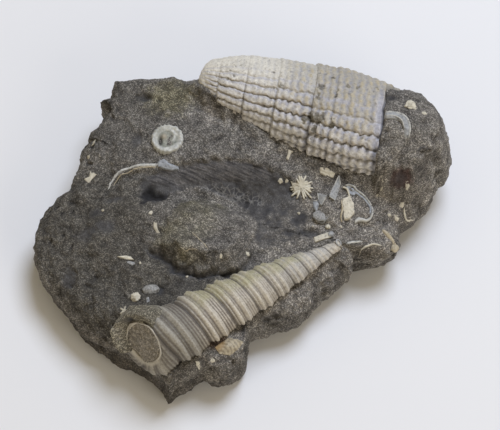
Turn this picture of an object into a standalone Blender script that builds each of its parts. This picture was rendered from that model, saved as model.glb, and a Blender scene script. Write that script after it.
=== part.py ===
"""A hand-sized piece of dark sandy rock with fossil snails in it.

A netted shell lies along the back, a turret shell along the front edge, and a small coiled snail and bits of
broken valve lie on top. Metres, +Z up. The origin is the middle of the bounding box on the resting plane;
+X is the long side. Sizes below are in millimetres and are turned into metres where a mesh is made.
"""

import math

import bmesh
import bpy
from mathutils import Matrix, Vector, noise

MM = 0.001
GAP = 0.34  # clear space between a shell and the rock around it
TURN = 2.0 * math.pi

# The block, seen from above: (x, y) round its outline, from the right side towards the back.
BLOCK_OUTLINE = [
    (31.2, -0.5), (31.6, 1.0), (33.5, 2.5), (35.3, 4.4), (37.8, 7.3), (38.5, 8.9),
    (39.0, 11.0), (40.9, 12.0), (41.7, 13.6), (42.3, 16.3), (42.1, 18.1), (41.3, 20.8),
    (40.0, 22.8), (38.2, 25.6), (36.2, 27.5), (32.0, 29.5), (26.0, 31.5), (18.0, 34.0),
    (8.0, 34.6), (0.0, 34.4), (-5.0, 33.8), (-9.0, 33.2), (-12.0, 32.6), (-15.0, 33.2),
    (-18.2, 32.6), (-23.0, 33.0), (-24.8, 32.5), (-26.8, 32.2), (-27.2, 28.6), (-29.4, 28.1),
    (-28.2, 26.0), (-28.9, 23.8), (-31.6, 20.6), (-31.7, 19.2), (-31.0, 18.6), (-32.6, 18.2),
    (-33.2, 14.8), (-33.7, 12.4), (-35.2, 8.5), (-37.6, 6.5), (-39.4, 4.5), (-41.0, 2.2),
    (-41.8, -0.4), (-42.2, -4.4), (-41.8, -7.4), (-40.5, -10.5), (-38.4, -12.9), (-37.0, -15.6),
    (-35.0, -17.7), (-31.9, -21.4), (-28.3, -24.5), (-24.0, -27.2), (-20.4, -29.2), (-18.0, -30.8),
    (-16.2, -32.8), (-14.9, -35.2), (-13.2, -33.1), (-11.0, -32.5), (-8.2, -30.6), (-5.0, -32.2),
    (-2.6, -31.5), (-0.1, -29.2), (0.5, -26.0), (1.0, -22.7), (2.7, -21.4), (5.7, -20.4),
    (8.4, -19.9), (11.0, -18.4), (12.9, -17.1), (14.7, -14.8), (15.9, -13.0), (17.7, -12.7),
    (19.0, -11.0), (20.5, -9.0), (21.4, -9.0), (22.0, -7.0), (22.4, -5.6), (25.9, -6.0),
    (29.1, -5.5), (30.6, -4.5), (31.2, -3.0),
]

# Heights of the block's top: (x, y, height).
SPOT_HEIGHTS = [
    (-25.0, 28.0, 16.0), (-16.0, 29.0, 16.8), (-9.0, 29.0, 16.6), (-28.5, 20.0, 15.6), (-31.0, 10.0, 14.8),
    (-15.6, 17.0, 17.6), (-22.0, 14.0, 17.0), (-5.0, 15.5, 18.6), (3.0, 15.5, 18.4), (9.5, 11.0, 17.2),
    (-4.0, 24.0, 17.4), (8.0, 18.0, 17.8), (18.0, 12.0, 16.8), (26.0, 8.0, 15.6), (31.0, 8.5, 14.6),
    (0.0, 31.0, 15.5), (12.0, 31.0, 15.5), (24.0, 27.0, 16.5), (-36.0, 0.0, 13.6), (-38.0, -6.0, 12.6),
    (-27.0, -3.0, 16.0), (-31.0, -13.0, 13.6), (-22.0, -10.0, 16.0), (-20.0, 0.0, 17.2), (-26.0, -18.0, 14.4),
    (-17.0, -17.0, 16.2), (-12.5, -19.0, 16.6), (-5.5, -15.5, 16.2), (2.5, -12.5, 15.6), (10.0, -9.0, 14.8),
    (17.0, -4.0, 14.2), (-12.0, -30.0, 9.6), (-4.0, -28.0, 10.0), (0.0, -22.0, 10.4), (7.0, -17.5, 10.6),
    (13.0, -13.0, 11.0), (18.0, -9.0, 12.0), (22.0, -3.0, 13.4), (27.0, -3.0, 12.6), (30.0, 1.0, 12.8),
    (34.0, 8.0, 13.6), (13.0, 0.0, 14.4), (11.0, 5.0, 16.2), (18.0, 3.0, 16.0), (25.0, 3.5, 15.2),
    (-23.0, -26.0, 11.0), (38.5, 14.0, 13.4), (38.0, 22.0, 14.0),
]
SPOT_REACH = 3.2  # spot heights blend over about this distance

# By bearing in degrees, 0 at +X: the height of the block's widest line, how far in from it the upper edge is
# rounded, and how far in the lower edge is cut under.
WIDEST_HEIGHT = [
    (-180, 9.8), (-150, 8.0), (-115, 7.0), (-85, 7.0), (-50, 6.8), (-15, 6.6),
    (15, 8.2), (35, 11.0), (70, 11.0), (120, 11.5), (150, 11.0), (180, 9.8),
]
TOP_ROUNDING = [
    (-180, 9.0), (-150, 7.0), (-115, 4.0), (-85, 4.0), (-50, 4.5), (-15, 4.5), (15, 5.0),
    (35, 4.0), (70, 4.0), (105, 3.0), (140, 3.0), (160, 5.5), (180, 9.0),
]
UNDERCUT = [
    (-180, 8.0), (-150, 7.5), (-115, 5.0), (-85, 4.5), (-50, 4.5), (-15, 6.0), (15, 9.0),
    (35, 8.0), (70, 6.0), (120, 5.0), (150, 6.0), (180, 8.0),
]
BLOCK_TRIANGLES = 2500
SKIN_ROUGHNESS = 0.45
FLAT_WITHIN = 0.04  # the underside is flat: points this near the resting plane lie on it

# Shallow rises and hollows of the top: (middle, half width, half depth, height, turned by degrees).
SWELLS = [
    ((-2.5, 4.6), 14.5, 5.2, -4.0, -6.0),  # the smooth trough left by a shell that has gone
    ((-22.5, -23.5), 5.5, 5.5, 3.6, 0.0),  # the lump over the turret's mouth
    ((-18.8, 5.2), 3.0, 2.2, -1.6, 0.0),
    ((31.6, 8.6), 2.0, 1.4, -1.2, 0.0),
    ((-20.0, 27.0), 1.4, 1.4, -0.9, 0.0),
    ((14.0, -1.5), 4.5, 2.6, -1.2, 0.0),
    ((-16.6, -14.6), 3.0, 2.0, -0.9, 0.0),
]

# The netted shell's axis, from its tip to where it goes into the rock.
NETTED_AXIS = (Vector((-8.8, 31.5, 18.5)), Vector((28.2, 17.2, 18.5)))

# The knob carries on the netted shell's round back beyond its open end, then rounds off.
KNOB_BASE = 12.0
KNOB_RISE = 16.6
KNOB_HALF_WIDTH = 11.5
KNOB_SHOULDER = 43.5  # millimetres from the shell's tip
KNOB_END = 11.0  # length of its rounded end


# ---------------------------------------------------------------- scene and small helpers
def clear_scene():
    for item in list(bpy.data.objects):
        bpy.data.objects.remove(item, do_unlink=True)


def new_collection(name):
    group = bpy.data.collections.new(name)
    bpy.context.scene.collection.children.link(group)
    return group


def material(name, colour, roughness):
    finish = bpy.data.materials.new(name)
    finish.use_nodes = True
    shader = finish.node_tree.nodes["Principled BSDF"]
    shader.inputs["Base Color"].default_value = (*colour, 1.0)
    shader.inputs["Roughness"].default_value = roughness
    shader.inputs["Metallic"].default_value = 0.0
    return finish


def add_body(name, bm, group, finish=None, smooth=True):
    """Turn a bmesh in millimetres into an object in metres, with its origin in its own middle."""
    bmesh.ops.scale(bm, vec=(MM, MM, MM), verts=bm.verts)
    bmesh.ops.recalc_face_normals(bm, faces=bm.faces)
    middle = sum((vert.co for vert in bm.verts), Vector()) / len(bm.verts)
    bmesh.ops.translate(bm, vec=-middle, verts=bm.verts)
    mesh = bpy.data.meshes.new(name)
    bm.to_mesh(mesh)
    bm.free()
    body = bpy.data.objects.new(name, mesh)
    body.location = middle
    group.objects.link(body)
    if smooth:
        mesh.shade_smooth()
    if finish:
        mesh.materials.append(finish)
    return body


def smoothstep(low, high, value):
    x = min(max((value - low) / (high - low), 0.0), 1.0)
    return x * x * (3.0 - 2.0 * x)


def by_bearing(table, bearing):
    """Read a (degrees, value) table, blended smoothly between its entries."""
    degrees = math.degrees(bearing)
    for (low, first), (high, second) in zip(table, table[1:]):
        if low <= degrees <= high:
            return first + (second - first) * smoothstep(low, high, degrees)
    return table[0][1]


# ---------------------------------------------------------------- the block's shape
POLAR_OUTLINE = sorted((math.atan2(y, x), math.hypot(x, y)) for x, y in BLOCK_OUTLINE)


def read_outline(outline, bearing):
    """Distance from the middle to an outline, straight between the outline's (bearing, distance) points."""
    points = [(outline[-1][0] - TURN, outline[-1][1])] + outline + [(outline[0][0] + TURN, outline[0][1])]
    for (low, first), (high, second) in zip(points, points[1:]):
        if low <= bearing <= high:
            return first + (second - first) * (bearing - low) / max(high - low, 1e-9)
    return points[-1][1]


def worn_outline(steps, spread):
    """The outline with its small spurs and notches averaged away, for the underside along the back."""
    worn = []
    for i in range(steps):
        bearing = TURN * i / steps - math.pi
        near = [bearing + spread * k / 2.0 for k in range(-2, 3)]
        near = [b - TURN * math.floor((b + math.pi) / TURN) for b in near]
        worn.append((bearing, sum(read_outline(POLAR_OUTLINE, b) for b in near) / len(near)))
    return worn


UNDER_OUTLINE = worn_outline(90, math.radians(14.0))


def spot_height(x, y):
    total = 0.0
    weight_sum = 0.0
    for sx, sy, height in SPOT_HEIGHTS:
        weight = 1.0 / ((x - sx) ** 2 + (y - sy) ** 2 + SPOT_REACH ** 2) ** 2
        total += weight * height
        weight_sum += weight
    return total / weight_sum


def oval(x, y, centre, half_x, half_y, turn=0.0):
    """0 in the middle of an oval, 1 on its edge."""
    angle = math.radians(turn)
    dx = x - centre[0]
    dy = y - centre[1]
    across = dx * math.cos(angle) + dy * math.sin(angle)
    along = dy * math.cos(angle) - dx * math.sin(angle)
    return math.hypot(across / half_x, along / half_y)


def hump(x, y):
    """The rounded hump in front of the trough, with a sharp step along its front left side."""
    where = oval(x, y, (-7.0, -3.6), 12.5, 8.6, -8.0)
    sharp = smoothstep(-3.6, -8.0, y) * smoothstep(2.0, -4.0, x)
    return 3.2 * (1.0 - smoothstep(0.2 + 0.5 * sharp, 1.0, where))


def knob(x, y):
    """The mound beyond the netted shell's open end; it starts a little further along on the front side."""
    tip, end = NETTED_AXIS
    along = (end - tip).normalized()
    offset = Vector((x, y, tip.z)) - tip
    place = offset.dot(along)
    aside = offset.cross(along).z
    begin = 36.0 + 4.0 * smoothstep(-8.0, 8.0, aside)
    out = math.hypot(max(place - KNOB_SHOULDER, 0.0) / KNOB_END, aside / KNOB_HALF_WIDTH)
    rise = KNOB_RISE * smoothstep(begin, begin + 1.5, place)
    return KNOB_BASE + rise * math.sqrt(max(1.0 - out * out, 0.0))


def top_height(x, y):
    """Height of the block's top before its edges are rounded."""
    height = spot_height(x, y) + hump(x, y)
    for centre, half_x, half_y, rise, turn in SWELLS:
        height += rise * math.exp(-1.6 * oval(x, y, centre, half_x, half_y, turn) ** 2)
    return max(height, knob(x, y))


def block_point(direction):
    """Place one point of a unit ball on the block's skin."""
    bearing = math.atan2(direction.y, direction.x)
    share = min(math.hypot(direction.x, direction.y), 1.0)
    grain = noise.noise(Vector(direction) * 5.0) + 0.5 * noise.noise(Vector(direction) * 11.0)
    rim = read_outline(POLAR_OUTLINE, bearing)
    if direction.z < 0.0:
        worn = smoothstep(0.0, -0.3, direction.z) * smoothstep(0.0, 0.3, math.sin(bearing))
        rim += (read_outline(UNDER_OUTLINE, bearing) - rim) * worn
    reach = rim * share
    x = reach * math.cos(bearing)
    y = reach * math.sin(bearing)
    inward = rim - reach
    widest = by_bearing(WIDEST_HEIGHT, bearing)
    if direction.z >= 0.0:
        part = min(inward / by_bearing(TOP_ROUNDING, bearing), 1.0)
        rise = math.sqrt(max(1.0 - (1.0 - part) ** 2, 0.0))
        z = widest + (top_height(x, y) - widest) * rise + SKIN_ROUGHNESS * grain * rise
        return Vector((x, y, z))
    part = min(inward / by_bearing(UNDERCUT, bearing), 1.0)
    fall = math.sqrt(max(1.0 - (1.0 - part) ** 2, 0.0))
    side = 1.0 + 0.02 * grain * (1.0 - part)
    return Vector((x * side, y * side, widest * (1.0 - fall)))


def build_block(group, finish):
    bm = bmesh.new()
    bmesh.ops.create_icosphere(bm, subdivisions=6, radius=1.0)
    for vert in bm.verts:
        vert.co = block_point(vert.co.normalized())
    fine = add_body("block_fine", bm, group)
    thin = fine.modifiers.new("Fewer faces", "DECIMATE")
    thin.ratio = BLOCK_TRIANGLES / len(fine.data.polygons)
    seen = fine.evaluated_get(bpy.context.evaluated_depsgraph_get())
    mesh = bpy.data.meshes.new_from_object(seen)
    mesh.name = "matrix_block"
    mesh.transform(Matrix.Translation(fine.location))
    bpy.data.objects.remove(fine, do_unlink=True)
    for vert in mesh.vertices:
        if vert.co.z < FLAT_WITHIN * MM:
            vert.co.z = 0.0
    mesh.materials.append(finish)
    block = bpy.data.objects.new("matrix_block", mesh)
    group.objects.link(block)
    return block


# ---------------------------------------------------------------- shells wound round an axis
def axis_frame(tip, end):
    """The axis, the upward direction across it, and the direction a quarter turn further, right-handed."""
    along = (end - tip).normalized()
    up = (Vector((0, 0, 1)) - along * along.z).normalized()
    return along, up, along.cross(up)


def columns_round(show_from, show_to, show_count, buried_count):
    """Angles round the axis in degrees, from the buried underside: close together on the side that shows."""
    before = [-180.0 + (show_from + 180.0) * i / buried_count for i in range(buried_count)]
    shown = [show_from + (show_to - show_from) * i / show_count for i in range(show_count)]
    after = [show_to + (180.0 - show_to) * i / buried_count for i in range(buried_count)]
    return before + shown + after


def wound_shell(axis, columns, phases, whorls, advance, radius, end_cap):
    """A closed skin whose rows follow the suture, one shell whorl after another.

    It is lofted, because a screwed profile can't taper and step out as it winds.
    columns are angles round the axis; phases are the rows' places within a whorl, from suture to suture.
    advance(w) is the distance along the axis after w turns, and radius(t, angle, phase) the distance from it.
    """
    tip, end = axis
    along, up, side = axis_frame(tip, end)
    step = len(phases)
    row_count = whorls * step + 1
    bm = bmesh.new()
    grid = []
    for degrees in columns:
        angle = math.radians(degrees)
        outward = up * math.cos(angle) + side * math.sin(angle)
        line = []
        for row in range(row_count):
            phase = row // step + phases[row % step]
            t = advance(phase + (degrees - columns[0]) / 360.0)
            line.append(bm.verts.new(tip + along * t + outward * radius(t, degrees, phase)))
        grid.append(line)
    last = len(columns) - 1
    for c in range(last):
        for row in range(row_count - 1):
            bm.faces.new((grid[c][row], grid[c + 1][row], grid[c + 1][row + 1], grid[c][row + 1]))
    for row in range(row_count - 1 - step):
        bm.faces.new((grid[last][row], grid[0][row + step], grid[0][row + step + 1], grid[last][row + 1]))
    start = [line[0] for line in grid] + [grid[0][row] for row in range(step, 0, -1)]
    finish = [line[-1] for line in grid] + [grid[last][row_count - 1 - row] for row in range(1, step + 1)]
    for ring, middle_point in ((start, tip), (finish, tip + along * end_cap)):
        middle = bm.verts.new(middle_point)
        for first, second in zip(ring, ring[1:] + ring[:1]):
            bm.faces.new((first, second, middle))
    return bm


def turned_skin(axis, stations, radius, sides, lead=0.0, seam=0.0):
    """A plain closed skin round an axis, used to clear room for a shell in the rock.

    lead is how far a ring advances in one turn, as a share of its distance from the tip; the stations are its
    distances at the seam's angle.
    """
    tip, end = axis
    along, up, side = axis_frame(tip, end)
    widen = 1.0 / math.cos(math.pi / sides)
    bm = bmesh.new()
    rings = []
    for t in stations:
        ring = []
        for i in range(sides):
            degrees = 360.0 * i / sides - 140.0
            outward = up * math.cos(math.radians(degrees)) + side * math.sin(math.radians(degrees))
            place = t * (1.0 + lead * (degrees - seam) / 360.0)
            ring.append(bm.verts.new(tip + along * place + outward * (radius(t) + GAP) * widen))
        rings.append(ring)
    for low, high in zip(rings, rings[1:]):
        for i in range(sides):
            j = (i + 1) % sides
            bm.faces.new((low[i], low[j], high[j], high[i]))
    bm.faces.new(rings[0])
    bm.faces.new(rings[-1])
    return bm


# The netted shell: a stout cone whose whorls step outward below each suture.
NETTED_SIZE = 10.1
NETTED_LENGTH = 45.0
NETTED_RIBS = 20
NETTED_SEAM = 28.0  # the sutures stand at whole whorls at this angle round the axis
NETTED_LAST_SUTURE = 4.5
NETTED_EDGE = 5.56  # the body whorl turns in to its base here, in whorls
NETTED_LEAD = 0.285  # share of its distance from the tip that the edge advances in one turn


def netted_advance(turned):
    """Distance from the tip after so many turns, counted from the underside."""
    whorl = turned - (NETTED_SEAM + 180.0) / 360.0
    if whorl < 1.0:
        return 4.5 * math.exp(1.09 * (whorl - 1.0))
    return min(22.6 * (1.2 ** whorl - 1.0), NETTED_LENGTH)


def netted_outline(t):
    """Radius of the netted shell without its ribs, t millimetres from the blunt tip."""
    if t < 30.0:
        blunt = 0.8 * math.exp(-((t - 0.8) / 2.2) ** 2)
        return NETTED_SIZE * math.sqrt(max(1.0 - (1.0 - t / 30.0) ** 1.45, 0.0)) + blunt
    return NETTED_SIZE * (1.0 - 0.0006 * (t - 30.0) ** 2)


def netted_radius(t, degrees, phase):
    """Outline, stepped whorls, sutures and ribs, then the steep base beyond the last whorl's edge."""
    fraction = phase % 1.0
    from_suture = min(fraction, 1.0 - fraction)
    radius = netted_outline(t)
    if phase < NETTED_LAST_SUTURE:
        stepped = smoothstep(0.0, 1.0, phase)
        radius *= 1.0 + stepped * (0.03 - 0.06 * fraction)
        radius -= 0.5 * stepped * math.exp(-(from_suture / 0.06) ** 2)
    rib = 0.5 + 0.5 * math.cos(math.radians(NETTED_RIBS * (degrees - NETTED_SEAM)))
    strength = smoothstep(1.5, 6.0, t) * (1.0 - smoothstep(5.4, 5.7, phase))
    base = 1.0 - 0.8 * smoothstep(NETTED_EDGE, NETTED_EDGE + 0.2, phase)
    return radius * base * (1.0 - 0.06 * (1.0 - rib) * strength)


def build_netted(group, cutters, finish):
    rib = 360.0 / NETTED_RIBS
    columns = columns_round(NETTED_SEAM - 7.5 * rib, NETTED_SEAM + 5.5 * rib, 26, 3)
    phases = [0.0, 0.10, 0.40, 0.56, 0.76]
    bm = wound_shell(NETTED_AXIS, columns, [p - 1.0 for p in phases], 7, netted_advance, netted_radius, 44.6)
    add_body("netted_snail", bm, group, finish)
    stations = [0.0, 1.2, 4.0, 8.0, 13.0, 18.0, 24.0, 31.0, 40.4, 43.0, 46.0]
    shares = {43.0: 0.34, 46.0: 0.30}

    def room_radius(t):
        return (netted_outline(max(t, 0.4)) * 1.03 + 0.1) * shares.get(t, 1.0)

    bm = turned_skin(NETTED_AXIS, stations, room_radius, 22, NETTED_LEAD, NETTED_SEAM)
    add_body("netted_room", bm, cutters)


# The turret shell: a slender cone with a keel and a second cord on each whorl.
TURRET_AXIS = (Vector((19.0, -5.3, 14.2)), Vector((-17.5, -26.1, 13.6)))
TURRET_SEAM = -118.0
MOUTH_MIDDLE = Vector((-19.7, -26.3, 15.0))
MOUTH_FACING = Vector((-0.667, -0.611, 0.425)).normalized()
MOUTH_RADIUS = 4.0
MOUTH_DEPTH = 1.0


def turret_advance(turned):
    whorl = turned - (TURRET_SEAM + 180.0) / 360.0
    return max(16.46 * (1.145 ** whorl - 1.0), 0.15)


def turret_outline(t):
    cone = 7.8 * (1.0 - math.exp(-max(t, 0.0) / 24.0))
    return (cone ** 3 + 0.9 ** 3) ** (1.0 / 3.0)


def turret_radius(t, degrees, phase):
    """Suture groove, keel in the middle of the whorl, shallow dip and a second cord near the next suture."""
    fraction = phase % 1.0
    radius = turret_outline(t)
    keel = math.exp(-((fraction - 0.47) / 0.16) ** 2)
    cord = math.exp(-((fraction - 0.82) / 0.09) ** 2)
    groove = math.exp(-(min(fraction, 1.0 - fraction) / 0.12) ** 2)
    return radius * (0.93 + 0.075 * keel + 0.05 * cord - 0.075 * groove)


def cut_mouth(bm, beyond=0.0):
    """Slice the wide end off slantwise and close it with a fan of faces."""
    everything = bm.verts[:] + bm.edges[:] + bm.faces[:]
    place = MOUTH_MIDDLE + MOUTH_FACING * beyond
    cut = bmesh.ops.bisect_plane(bm, geom=everything, plane_co=place, plane_no=MOUTH_FACING, clear_outer=True)
    rim = [item for item in cut["geom_cut"] if isinstance(item, bmesh.types.BMEdge)]
    total = sum((edge.verts[0].co + edge.verts[1].co for edge in rim), Vector())
    middle = bm.verts.new(total / (2 * len(rim)))
    for edge in rim:
        bm.faces.new((edge.verts[0], edge.verts[1], middle))


def build_turret(group, cutters, shell_finish, rock_finish):
    columns = columns_round(-120.0, 60.0, 12, 3)
    phases = [0.0, 0.20, 0.47, 0.66, 0.82]
    bm = wound_shell(TURRET_AXIS, columns, phases, 11, turret_advance, turret_radius, 66.0)
    cut_mouth(bm)
    shell = add_body("turret_snail", bm, group, shell_finish)
    stations = [-0.4, 2.0, 6.0, 11.0, 17.0, 24.0, 32.0, 42.0, 55.0]
    bm = turned_skin(TURRET_AXIS, stations, lambda t: turret_outline(t) * 1.02 + 0.08, 18)
    cut_mouth(bm, 0.9)
    add_body("turret_room", bm, cutters)
    facing = MOUTH_FACING.to_track_quat("Z", "Y").to_matrix().to_4x4()
    bm = bmesh.new()
    bmesh.ops.create_cone(bm, cap_ends=True, segments=18, radius1=MOUTH_RADIUS, radius2=MOUTH_RADIUS,
                          depth=2.0 * MOUTH_DEPTH, matrix=Matrix.Translation(MOUTH_MIDDLE) @ facing)
    dish = add_body("mouth_dish", bm, cutters)
    cut = shell.modifiers.new("Mouth", "BOOLEAN")
    cut.object = dish
    cut.solver = "EXACT"
    bm = bmesh.new()
    low = MOUTH_DEPTH - GAP
    middle = MOUTH_MIDDLE - MOUTH_FACING * (low - 0.45)
    bmesh.ops.create_cone(bm, cap_ends=True, segments=18, radius1=MOUTH_RADIUS - GAP,
                          radius2=MOUTH_RADIUS - GAP - 0.25, depth=0.9,
                          matrix=Matrix.Translation(middle) @ facing)
    top = max(bm.faces, key=lambda face: face.calc_center_median().dot(MOUTH_FACING))
    domed = bmesh.ops.poke(bm, faces=[top])
    domed["verts"][0].co += MOUTH_FACING * 0.35
    add_body("mouth_fill", bm, group, rock_finish, smooth=False)


# ---------------------------------------------------------------- the coiled snail and the broken bits
COIL_MIDDLE = (-15.4, 16.6)
COIL_RADIUS = 3.3


def coil_height(share, angle):
    """Height of the coiled snail's top over its rim: an outer whorl, a hollow inside it and a raised tip."""
    wound = share + 0.10 * (angle % TURN) / TURN
    outer = math.exp(-((wound - 0.88) / 0.17) ** 2)
    tip = 0.9 * math.exp(-((share - 0.12) / 0.2) ** 2)
    return 0.35 + 0.95 * outer + tip


def build_coiled(group, cutters, finish):
    bm = bmesh.new()
    bmesh.ops.create_uvsphere(bm, u_segments=16, v_segments=12, radius=1.0)
    ground = top_height(*COIL_MIDDLE)
    for vert in bm.verts:
        direction = vert.co.normalized()
        angle = math.atan2(direction.y, direction.x)
        share = math.hypot(direction.x, direction.y)
        x = COIL_MIDDLE[0] + COIL_RADIUS * share * math.cos(angle)
        y = COIL_MIDDLE[1] + COIL_RADIUS * share * math.sin(angle)
        if direction.z > 0.0:
            z = ground - 0.6 + 0.75 * direction.z ** 0.5 * (0.8 + coil_height(share, angle))
        else:
            z = ground - 0.6 + 1.3 * direction.z
        vert.co = Vector((x, y, z))
    add_body("coiled_snail", bm, group, finish)
    bm = bmesh.new()
    bmesh.ops.create_uvsphere(bm, u_segments=12, v_segments=8, radius=1.0)
    wide = 1.05 * COIL_RADIUS + GAP
    bmesh.ops.scale(bm, vec=(wide, wide, 1.5 + GAP), verts=bm.verts)
    bmesh.ops.translate(bm, vec=(*COIL_MIDDLE, ground - 0.5), verts=bm.verts)
    add_body("coiled_room", bm, cutters)


def settle(x, y, lift):
    return Vector((x, y, top_height(x, y) + lift))


def bar_skin(line, radii, lift, flat, detail):
    """The closed skin of a bent rod lying on the block, drawn as a curve and turned into a mesh."""
    curve = bpy.data.curves.new("bar", "CURVE")
    curve.dimensions = "3D"
    curve.bevel_depth = MM
    curve.bevel_resolution = detail
    curve.use_fill_caps = True
    spline = curve.splines.new("POLY")
    spline.points.add(len(line) - 1)
    for point, (x, y), radius in zip(spline.points, line, radii):
        point.co = (*(settle(x, y, lift) * MM), 1.0)
        point.radius = radius
    guide = bpy.data.objects.new("bar", curve)
    bpy.context.scene.collection.objects.link(guide)
    seen = guide.evaluated_get(bpy.context.evaluated_depsgraph_get())
    mesh = bpy.data.meshes.new_from_object(seen)
    bpy.data.objects.remove(guide, do_unlink=True)
    bm = bmesh.new()
    bm.from_mesh(mesh)
    bpy.data.meshes.remove(mesh)
    bmesh.ops.remove_doubles(bm, verts=bm.verts, dist=0.01 * MM)
    bmesh.ops.scale(bm, vec=(1 / MM, 1 / MM, 1 / MM), verts=bm.verts)
    for vert in bm.verts:
        height = top_height(vert.co.x, vert.co.y) + lift
        vert.co.z = height + (vert.co.z - height) * flat
    return bm


def bar(name, groups, finish, line, radii, lift=0.0, flat=1.0):
    """A bent rod half sunk in the block: its middle line in plan, and its half width at each point."""
    add_body(name, bar_skin(line, radii, lift, flat, 1), groups[0], finish)
    first = Vector(line[0]) + (Vector(line[0]) - Vector(line[1])).normalized() * GAP
    last = Vector(line[-1]) + (Vector(line[-1]) - Vector(line[-2])).normalized() * GAP
    wide = [radius * 1.2 + 1.35 * GAP / flat for radius in radii]
    add_body(name + "_room", bar_skin([first, *line[1:-1], last], wide, lift, flat, 0), groups[1])


def flake_skin(outline, lift, thick, grow):
    bm = bmesh.new()
    middle = sum((Vector(point) for point in outline), Vector((0, 0))) / len(outline)
    corners = [Vector(p) + (Vector(p) - middle).normalized() * grow * 1.5 for p in outline]
    face = bm.faces.new([bm.verts.new(settle(x, y, lift + grow)) for x, y in corners])
    grown = bmesh.ops.extrude_face_region(bm, geom=[face])
    for vert in [item for item in grown["geom"] if isinstance(item, bmesh.types.BMVert)]:
        vert.co.z -= thick + 2.0 * grow
    return bm


def flake(name, groups, finish, outline, lift=0.25, thick=0.8):
    """A flat bit of shell let into the block: its outline in plan."""
    add_body(name, flake_skin(outline, lift, thick, 0.0), groups[0], finish, smooth=False)
    add_body(name + "_room", flake_skin(outline, lift, thick, GAP), groups[1])


def pebble(name, groups, finish, place, half_sizes, lift=0.1, turn=0.0, seed=0.0):
    """A small lump, half sunk in the block."""
    turned = Matrix.Translation(settle(*place, lift)) @ Matrix.Rotation(math.radians(turn), 4, "Z")
    for kind, detail, swelling in (("", 2, 1.0), ("_room", 1, 1.45)):
        bm = bmesh.new()
        bmesh.ops.create_icosphere(bm, subdivisions=detail, radius=1.0)
        if not kind:
            for vert in bm.verts:
                vert.co *= 1.0 + 0.12 * noise.noise(vert.co * 1.7 + Vector((seed, 0.0, 0.0)))
        sizes = [half * swelling + (GAP if kind else 0.0) for half in half_sizes]
        bmesh.ops.scale(bm, vec=sizes, verts=bm.verts)
        bmesh.ops.transform(bm, matrix=turned, verts=bm.verts)
        add_body(name + kind, bm, groups[1] if kind else groups[0], None if kind else finish)


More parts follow.
